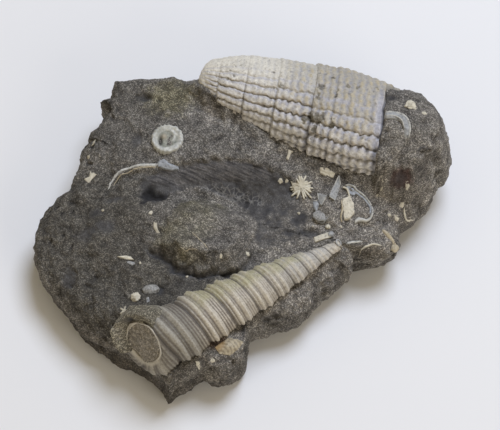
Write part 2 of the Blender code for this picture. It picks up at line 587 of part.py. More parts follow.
def build_bits(groups, shell, cream, grey, tan):
    bar("clam_edge_arc", groups, shell,
        [(-27.0, 6.5), (-26.2, 7.9), (-24.9, 9.4), (-22.9, 10.6), (-20.4, 11.2), (-17.8, 11.4), (-16.0, 11.1),
         (-14.5, 10.5), (-13.2, 10.0)],
        [0.35, 0.45, 0.5, 0.5, 0.5, 0.65, 1.05, 0.95, 0.3], lift=0.1, flat=0.7)
    bar("tusk_tube", groups, grey,
        [(29.3, 16.3), (30.5, 16.3), (31.5, 15.9), (32.3, 14.9), (32.6, 13.6), (32.3, 12.1)],
        [0.8, 0.85, 0.8, 0.7, 0.6, 0.4], lift=-0.1)
    bar("chip_by_netted_shell", groups, cream, [(15.3, 9.6), (16.9, 9.0), (18.4, 8.1)], [0.6, 0.75, 0.6])
    bar("twig_by_netted_shell", groups, cream, [(9.9, 13.8), (9.3, 12.9), (8.6, 12.1)], [0.35, 0.45, 0.4])
    flake("cream_tuft", groups, cream,
          [(9.3, 7.6), (10.6, 7.3), (10.9, 8.7), (11.8, 7.7), (13.6, 7.2), (13.3, 6.1), (14.2, 5.6),
           (13.2, 4.6), (12.9, 3.8), (11.9, 4.2), (10.5, 3.7), (10.3, 5.0), (9.3, 5.8), (10.2, 6.5)],
          lift=0.5)
    flake("splinter_shard", groups, grey,
          [(18.7, 8.0), (19.4, 6.7), (18.8, 4.2), (17.9, 3.2), (17.0, 4.1), (17.9, 5.6)], lift=0.5)
    flake("grey_shard", groups, grey,
          [(14.7, 4.7), (15.9, 4.9), (16.3, 3.8), (15.3, 2.6), (14.7, 2.1), (13.9, 2.3), (13.8, 3.2)],
          lift=0.4)
    flake("mottled_shard", groups, grey,
          [(14.0, 0.6), (15.1, 1.0), (16.1, 0.5), (15.9, -0.6), (14.8, -0.9), (14.0, -0.4)], lift=0.2)
    flake("cream_shard", groups, cream,
          [(20.2, 3.4), (21.0, 4.0), (21.9, 2.6), (22.0, 0.8), (21.2, -0.3), (20.2, -0.4), (20.3, 1.3)],
          lift=0.4)
    bar("crescent_edge", groups, shell,
        [(20.4, 6.4), (21.4, 6.3), (22.7, 5.6), (23.9, 4.5), (24.9, 3.1), (25.5, 1.6), (25.4, 0.2),
         (24.6, -0.7), (23.5, -1.1)],
        [0.4, 0.45, 0.45, 0.4, 0.4, 0.4, 0.4, 0.5, 0.45], lift=0.2)
    pebble("yellow_bead", groups, cream, (17.4, -1.6), (0.6, 0.55, 0.5), seed=1.0)
    bar("rod_fragment", groups, cream, [(14.0, -5.1), (15.8, -4.6), (17.4, -3.9)], [0.7, 0.75, 0.7], lift=0.2)
    bar("thin_rod", groups, shell, [(20.9, -4.6), (22.1, -4.3), (23.4, -4.3)], [0.35, 0.4, 0.35])
    bar("thin_arc", groups, shell, [(23.1, -6.3), (24.2, -5.8), (25.6, -5.4), (27.0, -5.3)],
        [0.3, 0.4, 0.4, 0.3])
    bar("tan_rod", groups, tan, [(28.0, -1.6), (28.8, -2.5), (29.5, -3.3)], [0.55, 0.6, 0.5])
    pebble("cream_spot", groups, cream, (33.0, 18.8), (0.9, 0.8, 0.5), seed=2.0)
    flake("cockle_piece", groups, tan,
          [(-5.4, -26.4), (-4.4, -25.5), (-3.3, -24.6), (-2.0, -24.8), (-0.4, -24.9), (-0.7, -26.1),
           (-1.7, -27.0), (-2.9, -27.7), (-4.3, -27.3)],
          lift=0.3, thick=1.2)
    pebble("cream_pebble", groups, cream, (-21.0, -17.6), (1.0, 0.9, 0.8), lift=0.2, seed=3.0)
    pebble("grey_pebble", groups, grey, (-18.0, -15.6), (1.4, 0.9, 0.7), lift=0.1, turn=8.0, seed=4.0)
    bar("paired_chip", groups, cream, [(-24.4, -9.2), (-23.2, -9.2), (-21.7, -10.0)], [0.35, 0.5, 0.45])
    flake("left_flake", groups, cream,
          [(-32.2, 9.6), (-31.1, 10.3), (-30.2, 11.2), (-30.3, 9.5), (-31.5, 8.9)])
    bar("mid_flake", groups, cream, [(-17.9, -2.2), (-17.4, -3.2), (-16.8, -4.4)], [0.35, 0.5, 0.35])


def main():
    clear_scene()
    parts = new_collection("fossil_snails_in_rock")
    cutters = new_collection("cutters")
    rock = material("dark_sandstone", (0.085, 0.078, 0.070), 0.95)
    shell = material("netted_shell", (0.46, 0.42, 0.35), 0.6)
    turret_finish = material("turret_shell", (0.40, 0.37, 0.31), 0.6)
    cream = material("cream_bits", (0.60, 0.54, 0.40), 0.65)
    grey = material("grey_bits", (0.38, 0.39, 0.38), 0.5)
    tan = material("tan_bits", (0.45, 0.34, 0.20), 0.65)
    block = build_block(parts, rock)
    build_netted(parts, cutters, shell)
    build_turret(parts, cutters, turret_finish, rock)
    build_coiled(parts, cutters, cream)
    build_bits((parts, cutters), shell, cream, grey, tan)
    for room in cutters.objects:
        if room.name.endswith("_room"):
            cut = block.modifiers.new(room.name, "BOOLEAN")
            cut.object = room
            cut.solver = "EXACT"
    for cutter in cutters.objects:
        cutter.hide_render = True
        cutter.display_type = "WIRE"


main()
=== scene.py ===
# %% [markdown]
# # Fossil snails in a piece of dark sandy rock
# A loose lump of hardened sea-floor sand holds two large snail shells, one small coiled one and a litter
# of broken valve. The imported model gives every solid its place; this lesson dresses them: a finely pitted
# rock, a netted shell with ribs and cords, a turret shell with spiral threads, and chips with broken
# edges. Lengths below are in millimetres and are turned into metres as each mesh is made.

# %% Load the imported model
import math

import bmesh
import bpy
import numpy as np
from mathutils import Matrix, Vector, noise
from mathutils.bvhtree import BVHTree


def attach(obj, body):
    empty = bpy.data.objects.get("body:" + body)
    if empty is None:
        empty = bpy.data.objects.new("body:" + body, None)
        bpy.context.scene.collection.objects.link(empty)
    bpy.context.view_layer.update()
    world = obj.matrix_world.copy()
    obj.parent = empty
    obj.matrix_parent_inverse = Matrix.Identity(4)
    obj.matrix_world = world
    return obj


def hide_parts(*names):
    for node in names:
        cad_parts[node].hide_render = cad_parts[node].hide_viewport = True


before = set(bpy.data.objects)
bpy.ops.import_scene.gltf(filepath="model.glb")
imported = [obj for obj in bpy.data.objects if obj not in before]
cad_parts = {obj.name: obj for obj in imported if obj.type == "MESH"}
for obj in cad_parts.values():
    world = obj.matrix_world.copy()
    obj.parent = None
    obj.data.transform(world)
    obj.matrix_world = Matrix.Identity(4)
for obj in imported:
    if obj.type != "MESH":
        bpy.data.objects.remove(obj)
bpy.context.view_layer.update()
MM = 0.001
TURN = 2.0 * math.pi
print("solids to dress:", len(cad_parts))

# %% [markdown]
# ## Small tools
# Every surface here is a rule that gives a height or a radius at a place, so it is easiest to work on
# whole arrays of points at once. `ease` is a soft ramp from 0 to 1, `bell` a soft bump, and `ripple` is
# smooth noise with lumps of a given size, the base of every rough surface below.

# %% Ramps and noise
def ease(low, high, value):
    share = np.clip((value - low) / (high - low), 0.0, 1.0)
    return share * share * (3.0 - 2.0 * share)


def bell(value, middle, width):
    return np.exp(-((value - middle) / width) ** 2)


def ripple(points, size, octaves=1, shift=0.0):
    """Noise from about -1 to 1 at each point, with lumps about size millimetres across."""
    away = Vector((shift * 7.3, shift * 3.1, -shift * 5.7))
    if octaves == 1:
        return np.array([noise.noise(Vector(point) / size + away) for point in points])
    return np.array([noise.fractal(Vector(point) / size + away, 0.8, 2.0, octaves) for point in points])


def shaken(points, amount, size, shift):
    """Points pushed about by noise, along each axis by its own."""
    return points + amount * np.stack([ripple(points, size, 2, shift + axis) for axis in range(3)], axis=1)


print("a quarter of the way up a ramp:", float(ease(0.0, 4.0, 1.0)))

# %% [markdown]
# A mesh is a list of points and a list of faces that name them. Most shapes here are rows of points, one
# row after another, so one rule can make all the faces between them: across an open grid, or round closed
# rings. A number kept at each point, such as how deep it lies in a groove, lets a finish follow the shape
# exactly.

# %% Turning points into objects
def new_piece(name, points, faces, finish, smooth=True):
    """A mesh object from points in millimetres."""
    mesh = bpy.data.meshes.new(name)
    mesh.from_pydata([tuple(point) for point in np.asarray(points) * MM], [], faces)
    mesh.validate()
    if smooth:
        mesh.shade_smooth()
    mesh.materials.append(finish)
    piece = bpy.data.objects.new(name, mesh)
    bpy.context.scene.collection.objects.link(piece)
    return piece


def read_points(mesh, what="co"):
    values = np.zeros(len(mesh.vertices) * 3)
    mesh.vertices.foreach_get(what, values)
    return values.reshape(-1, 3)


def move_points(mesh, points):
    mesh.vertices.foreach_set("co", (points * MM).ravel())
    mesh.update()


def paint(piece, name, values):
    """Keep one number a point on the mesh, for its finish to read."""
    layer = piece.data.attributes.new(name, "FLOAT", "POINT")
    layer.data.foreach_set("value", np.asarray(values, dtype=np.float32))


def seat(piece, slot, *nodes):
    """The piece hangs under the root and stands for these solids, which are hidden, or for none if it is a
    crumb. slot is not used.
    """
    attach(piece, "root")
    if nodes:
        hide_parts(*nodes)
        print(piece.name, "stands for", ", ".join(nodes), "with", len(piece.data.polygons), "faces")


# %% Faces between rows of points
def grid_faces(column_count, row_count):
    """Faces of an open grid whose points run up each column in turn."""
    column, row = np.meshgrid(np.arange(column_count - 1), np.arange(row_count - 1), indexing="ij")
    corner = (column * row_count + row).ravel()
    return np.stack((corner, corner + row_count, corner + row_count + 1, corner + 1), axis=1).tolist()


def band_faces(rings, around, first=0, turned=False):
    """Faces between closed rings of points, each ring after the last one, starting at point first."""
    faces = []
    for low in range(first, first + (rings - 1) * around, around):
        for here in range(around):
            beside = (here + 1) % around
            faces.append((low + here, low + around + here, low + around + beside, low + beside))
    return [face[:1] + face[:0:-1] for face in faces] if turned else faces


def fan_faces(around):
    """Three-cornered faces from point 0 to the ring of points after it."""
    return [(0, 1 + here, 1 + (here + 1) % around) for here in range(around)]


print("a tube of 3 rings with 8 sides has", len(band_faces(3, 8)), "faces")

# %% [markdown]
# ## Finishes
# All finishes are node trees. A few small helpers keep them short: `cloud` is noise of a given size,
# `blotches` spreads it between two colours, and `reads` fetches a number kept on the mesh. Sizes are in
# millimetres, so the grain of the rock stays the same size whatever it covers.

# %% Node helpers
def new_finish(name, roughness):
    finish = bpy.data.materials.new(name)
    finish.use_nodes = True
    tree = finish.node_tree
    shader = tree.nodes["Principled BSDF"]
    shader.inputs["Roughness"].default_value = roughness
    shader.inputs["Specular IOR Level"].default_value = 0.35
    return finish, tree, shader


def feed(tree, socket, value):
    """Link a socket to another one, or set it to a colour or a number."""
    if isinstance(value, bpy.types.NodeSocket):
        tree.links.new(value, socket)
    elif isinstance(value, tuple) and socket.type == "RGBA":
        socket.default_value = (*value, 1.0)
    else:
        socket.default_value = value


def node(tree, kind, **inputs):
    made = tree.nodes.new(kind)
    for name, value in inputs.items():
        feed(tree, made.inputs[name.replace("_", " ")], value)
    return made


def place(tree, stretch=(1.0, 1.0, 1.0)):
    """Object coordinates in millimetres, squeezed along the axes if asked."""
    where = tree.nodes.new("ShaderNodeTexCoord").outputs["Object"]
    scale = [part / MM for part in stretch]
    return node(tree, "ShaderNodeMapping", Vector=where, Scale=scale).outputs["Vector"]


def brushed_place(tree, degrees, long, short):
    """Coordinates drawn out along one direction in plan, for brush-like lines."""
    turned = node(tree, "ShaderNodeMapping", Vector=tree.nodes.new("ShaderNodeTexCoord").outputs["Object"])
    turned.vector_type = "TEXTURE"
    turned.inputs["Rotation"].default_value[2] = math.radians(degrees)
    turned.inputs["Scale"].default_value = (long * MM, short * MM, long * MM)
    return turned.outputs["Vector"]


def cloud(tree, where, size, detail=2.0, rough=0.5):
    made = node(tree, "ShaderNodeTexNoise", Vector=where, Scale=1.0 / size, Detail=detail, Roughness=rough)
    return made.outputs["Fac"]


def reads(tree, name):
    made = tree.nodes.new("ShaderNodeAttribute")
    made.attribute_name = name
    return made.outputs["Fac"]


def spread(tree, value, low, high):
    """Stretch the part of a value between low and high over 0 to 1."""
    return node(tree, "ShaderNodeMapRange", Value=value, From_Min=low, From_Max=high).outputs["Result"]


def sums(tree, way, first, second):
    made = tree.nodes.new("ShaderNodeMath")
    made.operation = way
    feed(tree, made.inputs[0], first)
    feed(tree, made.inputs[1], second)
    return made.outputs[0]


print("a grain of 0.5 mm has a noise scale of", 1.0 / 0.5)

# %% Helpers for colour
def mix(tree, share, first, second, way="MIX"):
    made = tree.nodes.new("ShaderNodeMix")
    made.data_type = "RGBA"
    made.blend_type = way
    for number, value in ((0, share), (6, first), (7, second)):
        feed(tree, made.inputs[number], value)
    return made.outputs[2]


def times(tree, first, second):
    return mix(tree, 1.0, first, second, "MULTIPLY")


def blotches(tree, where, size, first, second, detail=3.0, rough=0.5, low=0.3, high=0.7):
    """Two colours in soft blotches of a given size."""
    return mix(tree, spread(tree, cloud(tree, where, size, detail, rough), low, high), first, second)


def stained(tree, colour, tones):
    """Lay tones over a colour, each as strong as the number of that name kept on the mesh."""
    for name, tone in tones.items():
        colour = mix(tree, reads(tree, name), colour, tone)
    return colour


def dress(tree, shader, colour, height, depth):
    """Give the shader its colour, and a height worth depth millimetres for its fine roughness."""
    bump = node(tree, "ShaderNodeBump", Height=height, Strength=1.0, Distance=depth * MM)
    tree.links.new(colour, shader.inputs["Base Color"])
    tree.links.new(bump.outputs["Normal"], shader.inputs["Normal"])


print("colour helpers ready")

# %% [markdown]
# ### Sandy rock
# Up close the rock is grey-brown sand with black and pale grains, browner on the near left, partly weathering
# and partly painted shade, olive on the hump, and smooth and purple-grey in the hollow mould that a lost
# shell left. Grain this fine would need millions of faces, so each grain is one random cell of a pattern, and
# bump noise roughens it.

# %% Patterns of the rock
GRAIN = 0.17
WHITE = (1.0, 1.0, 1.0)


def vein_lines(tree, where):
    """Thin wandering lines about a millimetre apart, 1 along each line."""
    noise_colour = node(tree, "ShaderNodeTexNoise", Vector=where, Scale=1.0, Detail=3.0).outputs["Color"]
    wandering = mix(tree, 0.62, where, noise_colour, "LINEAR_LIGHT")
    cracks = node(tree, "ShaderNodeTexVoronoi", Vector=wandering, Scale=1.0)
    cracks.feature = "DISTANCE_TO_EDGE"
    return spread(tree, cracks.outputs["Distance"], 0.15, 0.0)


def grain_numbers(tree, where):
    """Two random numbers for each grain of sand."""
    cells = node(tree, "ShaderNodeTexVoronoi", Vector=where, Scale=1.0 / GRAIN).outputs["Color"]
    cell = tree.nodes.new("ShaderNodeSeparateColor")
    tree.links.new(cells, cell.inputs[0])
    return cell.outputs[0], cell.outputs[1]


print("grains to a centimetre of rock:", round(10.0 / GRAIN))


# %% The rock's finish
def rock_finish(name):
    finish, tree, shader = new_finish(name, 0.9)
    where = place(tree)
    colour = blotches(tree, where, 6.0, (0.134, 0.124, 0.111), (0.262, 0.242, 0.212), 5.0, 0.65, 0.34, 0.66)
    colour = stained(tree, colour, {
        # brown: weathered brown, and painted shade darkening the near left side
        "brown": (0.118, 0.108, 0.091),
        "pale": (0.33, 0.30, 0.26),
        "olive": (0.200, 0.180, 0.115),
        "rust": (0.110, 0.052, 0.036),
        # dark: the mould's own colour, and also painted shade in the hollow, the pits and the creases
        "dark": (0.086, 0.084, 0.087),
    })
    drawn_out = brushed_place(tree, -20.0, 3.2, 0.42)
    strokes = blotches(tree, drawn_out, 1.0, (0.42, 0.42, 0.44), (1.62, 1.58, 1.54), 3.0, 0.6, 0.34, 0.66)
    colour = times(tree, colour, mix(tree, reads(tree, "brushed"), WHITE, strokes))
    veins = sums(tree, "MULTIPLY", vein_lines(tree, where), reads(tree, "crackled"))
    colour = mix(tree, sums(tree, "MULTIPLY", veins, 0.8), colour, (0.32, 0.31, 0.29))
    brightness, height = grain_numbers(tree, where)
    sparkle = sums(tree, "ADD", sums(tree, "MULTIPLY", sums(tree, "POWER", brightness, 3.0), 1.7), 0.51)
    calm = sums(tree, "MAXIMUM", sums(tree, "MULTIPLY", reads(tree, "dark"), 0.9), reads(tree, "calm"))
    colour = times(tree, colour, mix(tree, calm, sparkle, (0.9, 0.9, 0.9)))
    colour = times(tree, colour, blotches(tree, where, 1.4, (0.72, 0.71, 0.71), (1.24, 1.24, 1.23), 5.0, 0.7))
    # Painted shade in low spots and painted light on raised ones, from the kept relief.
    shade = spread(tree, reads(tree, "relief"), -0.45, 0.35)
    colour = times(tree, colour, mix(tree, shade, (0.48, 0.47, 0.47), (1.26, 1.26, 1.25)))
    # Painted shade low on the foot at the near left and in the hollow.
    colour = mix(tree, reads(tree, "low_and_hollow_shade"), colour, times(tree, colour, (0.33, 0.30, 0.26)))
    fine = sums(tree, "ADD", sums(tree, "MULTIPLY", cloud(tree, where, 1.2, 5.0, 0.65), 3.0), height)
    dress(tree, shader, colour, fine, 0.17)
    return finish


dark_rock = rock_finish("dark sandy rock")
print("finish made:", dark_rock.name)

# %% [markdown]
# ### Worn shell
# The netted shell is cream where it is worn smooth. Further down its side each rib is lavender on its upper
# flank, nearly white on its crest and tan, partly as painted shade, where it faces down above the groove that
# ends it, and the groove is painted dark as shade. The mesh keeps where each point lies on its rib, so the
# finish can follow every rib and cord exactly.

# %% The netted shell's finish
def netted_finish():
    finish, tree, shader = new_finish("netted shell", 0.6)
    where = place(tree)
    cream = blotches(tree, where, 2.4, (0.74, 0.70, 0.595), (0.62, 0.59, 0.51))
    white = blotches(tree, where, 1.2, (0.80, 0.775, 0.72), (0.58, 0.56, 0.52))
    colour = mix(tree, reads(tree, "fresh"), cream, white)
    colour = mix(tree, reads(tree, "body"), colour, times(tree, colour, (0.60, 0.585, 0.565)))
    lavender = blotches(tree, where, 0.7, (0.40, 0.395, 0.435), (0.51, 0.50, 0.52), 2.0)
    # lower_flank: tan, partly painted shade where each rib faces down, and painted shade on the tip by the
    # rock
    colour = stained(tree, colour, {"upper_flank": lavender, "lower_flank": (0.42, 0.355, 0.26)})
    streak = spread(tree, cloud(tree, place(tree, (0.45, 1.0, 1.0)), 0.8, 3.0, 0.6), 0.30, 0.62)
    streaked = sums(tree, "MULTIPLY", reads(tree, "between_cords"), streak)
    colour = mix(tree, streaked, colour, (0.27, 0.275, 0.315))
    ochre = sums(tree, "MULTIPLY", reads(tree, "ochre"), spread(tree, cloud(tree, where, 1.1), 0.48, 0.62))
    colour = mix(tree, ochre, colour, (0.44, 0.375, 0.25))
    speck = spread(tree, cloud(tree, where, 0.34, 3.0, 0.8), 0.46, 0.30)
    colour = mix(tree, sums(tree, "MULTIPLY", speck, 0.7), colour, (0.17, 0.15, 0.125))
    broken = spread(tree, cloud(tree, where, 1.3, 4.0, 0.7), 0.28, 0.58)
    # groove: painted shade in the rib grooves, with the dark line of the seam
    colour = mix(tree, sums(tree, "MULTIPLY", reads(tree, "groove"), broken), colour, (0.035, 0.025, 0.018))
    mottle = blotches(tree, where, 0.55, (0.80, 0.785, 0.79), (1.13, 1.125, 1.12), 4.0, 0.75)
    sand = blotches(tree, where, 0.4, (0.04, 0.034, 0.027), (0.25, 0.225, 0.17), 2.0, 0.7)
    colour = stained(tree, times(tree, colour, mottle), {"packed_sand": sand})
    dress(tree, shader, colour, cloud(tree, where, 0.5, 3.0, 0.65), 0.10)
    return finish


netted_shell = netted_finish()
print("finish made:", netted_shell.name)

# %% [markdown]
# ### The rock's shape
# The lump is a ball of points pressed flat. Each point's bearing finds the outline, its share of the way
# out finds a place on the top or underside, and a table of spot heights with a few swells and hollows gives
# the level there. The numbers follow the solid's, with a fuller foot, so shells and chips sit where they
# should. A spot height is (x, y, level), a swell is its middle, half sizes, rise and turn, and a table that
# goes by bearing holds (degrees, millimetres) and is eased from row to row.

# %% Driving numbers of the rock
OUTLINE = [
    (31.2, -0.5), (31.6, 1.0), (33.5, 2.5), (35.3, 4.4), (37.8, 7.3), (38.5, 8.9),
    (39.0, 11.0), (40.9, 12.0), (41.7, 13.6), (42.3, 16.3), (42.1, 18.1), (41.3, 20.8),
    (40.0, 22.8), (38.2, 25.6), (36.2, 27.5), (32.0, 29.5), (26.0, 31.5), (18.0, 34.0),
    (8.0, 34.6), (0.0, 34.4), (-5.0, 33.8), (-9.0, 33.2), (-12.0, 32.6), (-15.0, 33.2),
    (-18.2, 32.6), (-23.0, 33.0), (-24.8, 32.5), (-26.8, 32.2), (-27.2, 28.6), (-29.4, 28.1),
    (-28.2, 26.0), (-28.9, 23.8), (-31.6, 20.6), (-31.7, 19.2), (-31.0, 18.6), (-32.6, 18.2),
    (-33.2, 14.8), (-33.7, 12.4), (-35.2, 8.5), (-37.6, 6.5), (-39.4, 4.5), (-41.0, 2.2),
    (-41.8, -0.4), (-42.2, -4.4), (-41.8, -7.4), (-40.5, -10.5), (-38.4, -12.9), (-37.0, -15.6),
    (-35.0, -17.7), (-31.9, -21.4), (-28.3, -24.5), (-24.0, -27.2), (-20.4, -29.2), (-18.0, -30.8),
    (-16.2, -32.8), (-14.9, -35.2), (-13.2, -33.1), (-11.0, -32.5), (-8.2, -30.6), (-5.0, -32.2),
    (-2.6, -31.5), (-0.1, -29.2), (0.5, -26.0), (1.0, -22.7), (2.7, -21.4), (5.7, -20.4),
    (8.4, -19.9), (11.0, -18.4), (12.9, -17.1), (14.7, -14.8), (15.9, -13.0), (17.7, -12.7),
    (19.0, -11.0), (20.5, -9.0), (21.4, -9.0), (22.0, -7.0), (22.4, -5.6), (25.9, -6.0),
    (29.1, -5.5), (30.6, -4.5), (31.2, -3.0),
]
SPOT_HEIGHTS = [
    (-25.0, 28.0, 16.0), (-16.0, 29.0, 16.8), (-9.0, 29.0, 16.6), (-28.5, 20.0, 15.6),
    (-31.0, 10.0, 14.8), (-15.6, 17.0, 17.6), (-22.0, 14.0, 17.0), (-5.0, 15.5, 18.6), (3.0, 15.5, 18.4),
    (9.5, 11.0, 17.2), (-4.0, 24.0, 17.4), (8.0, 18.0, 17.8), (18.0, 12.0, 16.8), (26.0, 8.0, 15.6),
    (31.0, 8.5, 14.6), (0.0, 31.0, 15.5), (12.0, 31.0, 15.5), (24.0, 27.0, 16.5), (-36.0, 0.0, 13.6),
    (-38.0, -6.0, 12.6), (-27.0, -3.0, 16.0), (-31.0, -13.0, 13.6), (-22.0, -10.0, 16.0),
    (-20.0, 0.0, 17.2), (-26.0, -18.0, 14.4), (-17.0, -17.0, 16.2), (-12.5, -19.0, 16.6),
    (-5.5, -15.5, 16.2), (2.5, -12.5, 15.6), (10.0, -9.0, 14.8), (17.0, -4.0, 14.2), (-12.0, -30.0, 9.6),
    (-4.0, -28.0, 10.0), (0.0, -22.0, 10.4), (7.0, -17.5, 10.6), (13.0, -13.0, 11.0), (18.0, -9.0, 12.0),
    (22.0, -3.0, 13.4), (27.0, -3.0, 12.6), (30.0, 1.0, 12.8), (34.0, 8.0, 13.6), (13.0, 0.0, 14.4),
    (11.0, 5.0, 16.2), (18.0, 3.0, 16.0), (25.0, 3.5, 15.2), (-23.0, -26.0, 11.0), (38.5, 14.0, 13.4),
    (38.0, 22.0, 14.0),
]
SPOT_REACH = 3.2
SWELLS = [
    ((-2.5, 4.6), 14.5, 5.2, -4.0, -6.0),
    ((-22.5, -23.5), 5.5, 5.5, 3.6, 0.0),
    ((-18.8, 5.2), 3.0, 2.2, -1.6, 0.0),
    ((31.6, 8.6), 2.0, 1.4, -1.2, 0.0),
    ((-20.0, 27.0), 1.4, 1.4, -0.9, 0.0),
    ((14.0, -1.5), 4.5, 2.6, -1.2, 0.0),
    ((-16.6, -14.6), 3.0, 2.0, -0.9, 0.0),
]
WIDEST_HEIGHT = [
    (-180, 9.8), (-158, 7.5), (-142, 4.6), (-116, 4.6), (-100, 7.0), (-85, 7.0), (-50, 6.8), (-28, 6.6),
    (-13, 8.6), (15, 8.2), (35, 11.0), (70, 11.0), (120, 11.5), (150, 11.0), (180, 9.8),
]
TOP_ROUNDING = [
    (-180, 9.0), (-150, 7.0), (-115, 4.0), (-85, 4.0), (-50, 4.5), (-15, 4.5), (15, 5.0),
    (35, 4.0), (70, 4.0), (105, 3.0), (140, 3.0), (160, 5.5), (180, 9.0),
]
UNDERCUT = [
    (-180, 8.0), (-158, 6.5), (-142, 2.6), (-116, 2.6), (-100, 4.6), (-85, 4.5), (-50, 4.5), (-28, 5.0),
    (-13, 9.5), (15, 9.0), (35, 8.0), (70, 6.0), (120, 5.0), (150, 6.0), (180, 8.0),
]
NETTED_TIP = np.array((-8.8, 31.5, 18.5))
NETTED_END = np.array((28.2, 17.2, 18.5))
print("outline points:", len(OUTLINE), "spot heights:", len(SPOT_HEIGHTS))


# %% Outline and slopes
rim_points = sorted((math.atan2(y, x), math.hypot(x, y)) for x, y in OUTLINE)
rim_bearings, rim_reaches = np.array(rim_points).T


def rim_at(bearing):
    return np.interp(bearing, rim_bearings, rim_reaches, period=TURN)


def worn_rim_at(bearing):
    """The outline with its small spurs averaged away."""
    return sum(rim_at(bearing + math.radians(7.0 * k)) for k in range(-2, 3)) / 5.0


def by_bearing(table, bearing):
    marks, values = np.array(table, dtype=float).T
    degrees = np.degrees(bearing)
    step = np.clip(np.searchsorted(marks, degrees, side="right") - 1, 0, len(marks) - 2)
    share = ease(0.0, 1.0, (degrees - marks[step]) / (marks[step + 1] - marks[step]))
    return values[step] + (values[step + 1] - values[step]) * share


print("reach to the right:", round(float(rim_at(0.0)), 1))


# %% Levels of the top
def oval(x, y, middle, half_x, half_y, turn=0.0):
    """0 in the middle of an oval, 1 on its edge."""
    angle = math.radians(turn)
    dx, dy = x - middle[0], y - middle[1]
    across = dx * math.cos(angle) + dy * math.sin(angle)
    along = dy * math.cos(angle) - dx * math.sin(angle)
    return np.hypot(across / half_x, along / half_y)


HUMP_MIDDLE, HUMP_HALF_X, HUMP_HALF_Y, HUMP_TURN, HUMP_HIGH = (-7.0, -3.6), 12.5, 8.6, -8.0, 3.2
KNOB_BEGINS, KNOB_MIDDLE, KNOB_LONG, KNOB_HALF_WIDE, KNOB_FOOT, KNOB_HIGH = 38.0, 43.5, 11.0, 11.5, 12.0, 16.6


def hump_rise(x, y):
    """The hump is steep towards the near left and fades away on its other sides."""
    where = oval(x, y, HUMP_MIDDLE, HUMP_HALF_X, HUMP_HALF_Y, HUMP_TURN)
    steep = ease(-3.6, -8.0, y) * ease(2.0, -4.0, x)
    return HUMP_HIGH * (1.0 - ease(0.2 + 0.5 * steep, 1.0, where))


def knob_level(x, y):
    """The mound that carries on the netted shell's round back."""
    along = (NETTED_END - NETTED_TIP) / np.linalg.norm(NETTED_END - NETTED_TIP)
    dx, dy = x - NETTED_TIP[0], y - NETTED_TIP[1]
    far = dx * along[0] + dy * along[1]
    aside = dx * along[1] - dy * along[0]
    begin = KNOB_BEGINS + 0.2 * np.clip(aside, -9.0, 10.0) + 0.1 * np.clip(aside - 5.0, 0.0, 5.0)
    begin = begin + 3.4 * ease(-6.0, -8.2, aside)
    out = np.hypot(np.maximum(far - KNOB_MIDDLE, 0.0) / KNOB_LONG, aside / KNOB_HALF_WIDE)
    return KNOB_FOOT + KNOB_HIGH * ease(begin, begin + 1.5, far) * np.sqrt(np.maximum(1.0 - out * out, 0.0))


def rock_top(x, y):
    """Each spot height draws the level towards it, the nearer the more, and swells are laid on that."""
    total, weights = np.zeros_like(x), np.zeros_like(x)
    for spot_x, spot_y, height in SPOT_HEIGHTS:
        weight = 1.0 / ((x - spot_x) ** 2 + (y - spot_y) ** 2 + SPOT_REACH ** 2) ** 2
        total += weight * height
        weights += weight
    level = total / weights + hump_rise(x, y)
    for middle, half_x, half_y, rise, turn in SWELLS:
        level += rise * np.exp(-1.6 * oval(x, y, middle, half_x, half_y, turn) ** 2)
    return np.maximum(level, knob_level(x, y))


print("top of the hump:", rock_top(*np.array(HUMP_MIDDLE)[:, None]).round(1))

# %% [markdown]
# The surface has places with a character of their own: the smooth mould, the hollow beside it, the hump
# with its undercut foot, and stains. Each is an outline in plan, and `within` tells how deep inside it a
# point lies, so an edge can be as sharp or as soft as it needs to be. A `bank` is sand piled against a
# shell along a line.

# %% Outlined places and banks
def near_line(start, end, x, y):
    """How far along a straight line each point lies, from 0 to 1, and how far away from it."""
    dx, dy = end[0] - start[0], end[1] - start[1]
    share = np.clip(((x - start[0]) * dx + (y - start[1]) * dy) / (dx * dx + dy * dy), 0.0, 1.0)
    return share, np.hypot(x - start[0] - share * dx, y - start[1] - share * dy)


def within(outline, x, y):
    """Millimetres inside an outline, and below zero outside it."""
    corners = np.array(outline)
    nearest = np.full(x.shape, np.inf)
    inside = np.zeros(x.shape, dtype=bool)
    for start, end in zip(corners, np.roll(corners, -1, axis=0)):
        nearest = np.minimum(nearest, near_line(start, end, x, y)[1])
        if end[1] != start[1]:
            crossing = start[0] + (y - start[1]) * (end[0] - start[0]) / (end[1] - start[1])
            inside ^= ((start[1] > y) != (end[1] > y)) & (x < crossing)
    return np.where(inside, nearest, -nearest)


def bank(line, reach, x, y):
    """Sand piled along a line of (x, y, rise)."""
    best = np.full(x.shape, np.inf)
    rise = np.zeros(x.shape)
    for start, end in zip(line, line[1:]):
        share, away = near_line(start, end, x, y)
        rise = np.where(away < best, start[2] + (end[2] - start[2]) * share, rise)
        best = np.minimum(best, away)
    return rise * np.exp(-(best / reach) ** 2)


UNIT_SQUARE = [(0, 0), (1, 0), (1, 1), (0, 1)]
print("depth of its middle inside a unit square:", within(UNIT_SQUARE, np.array([0.5]), np.array([0.5])))

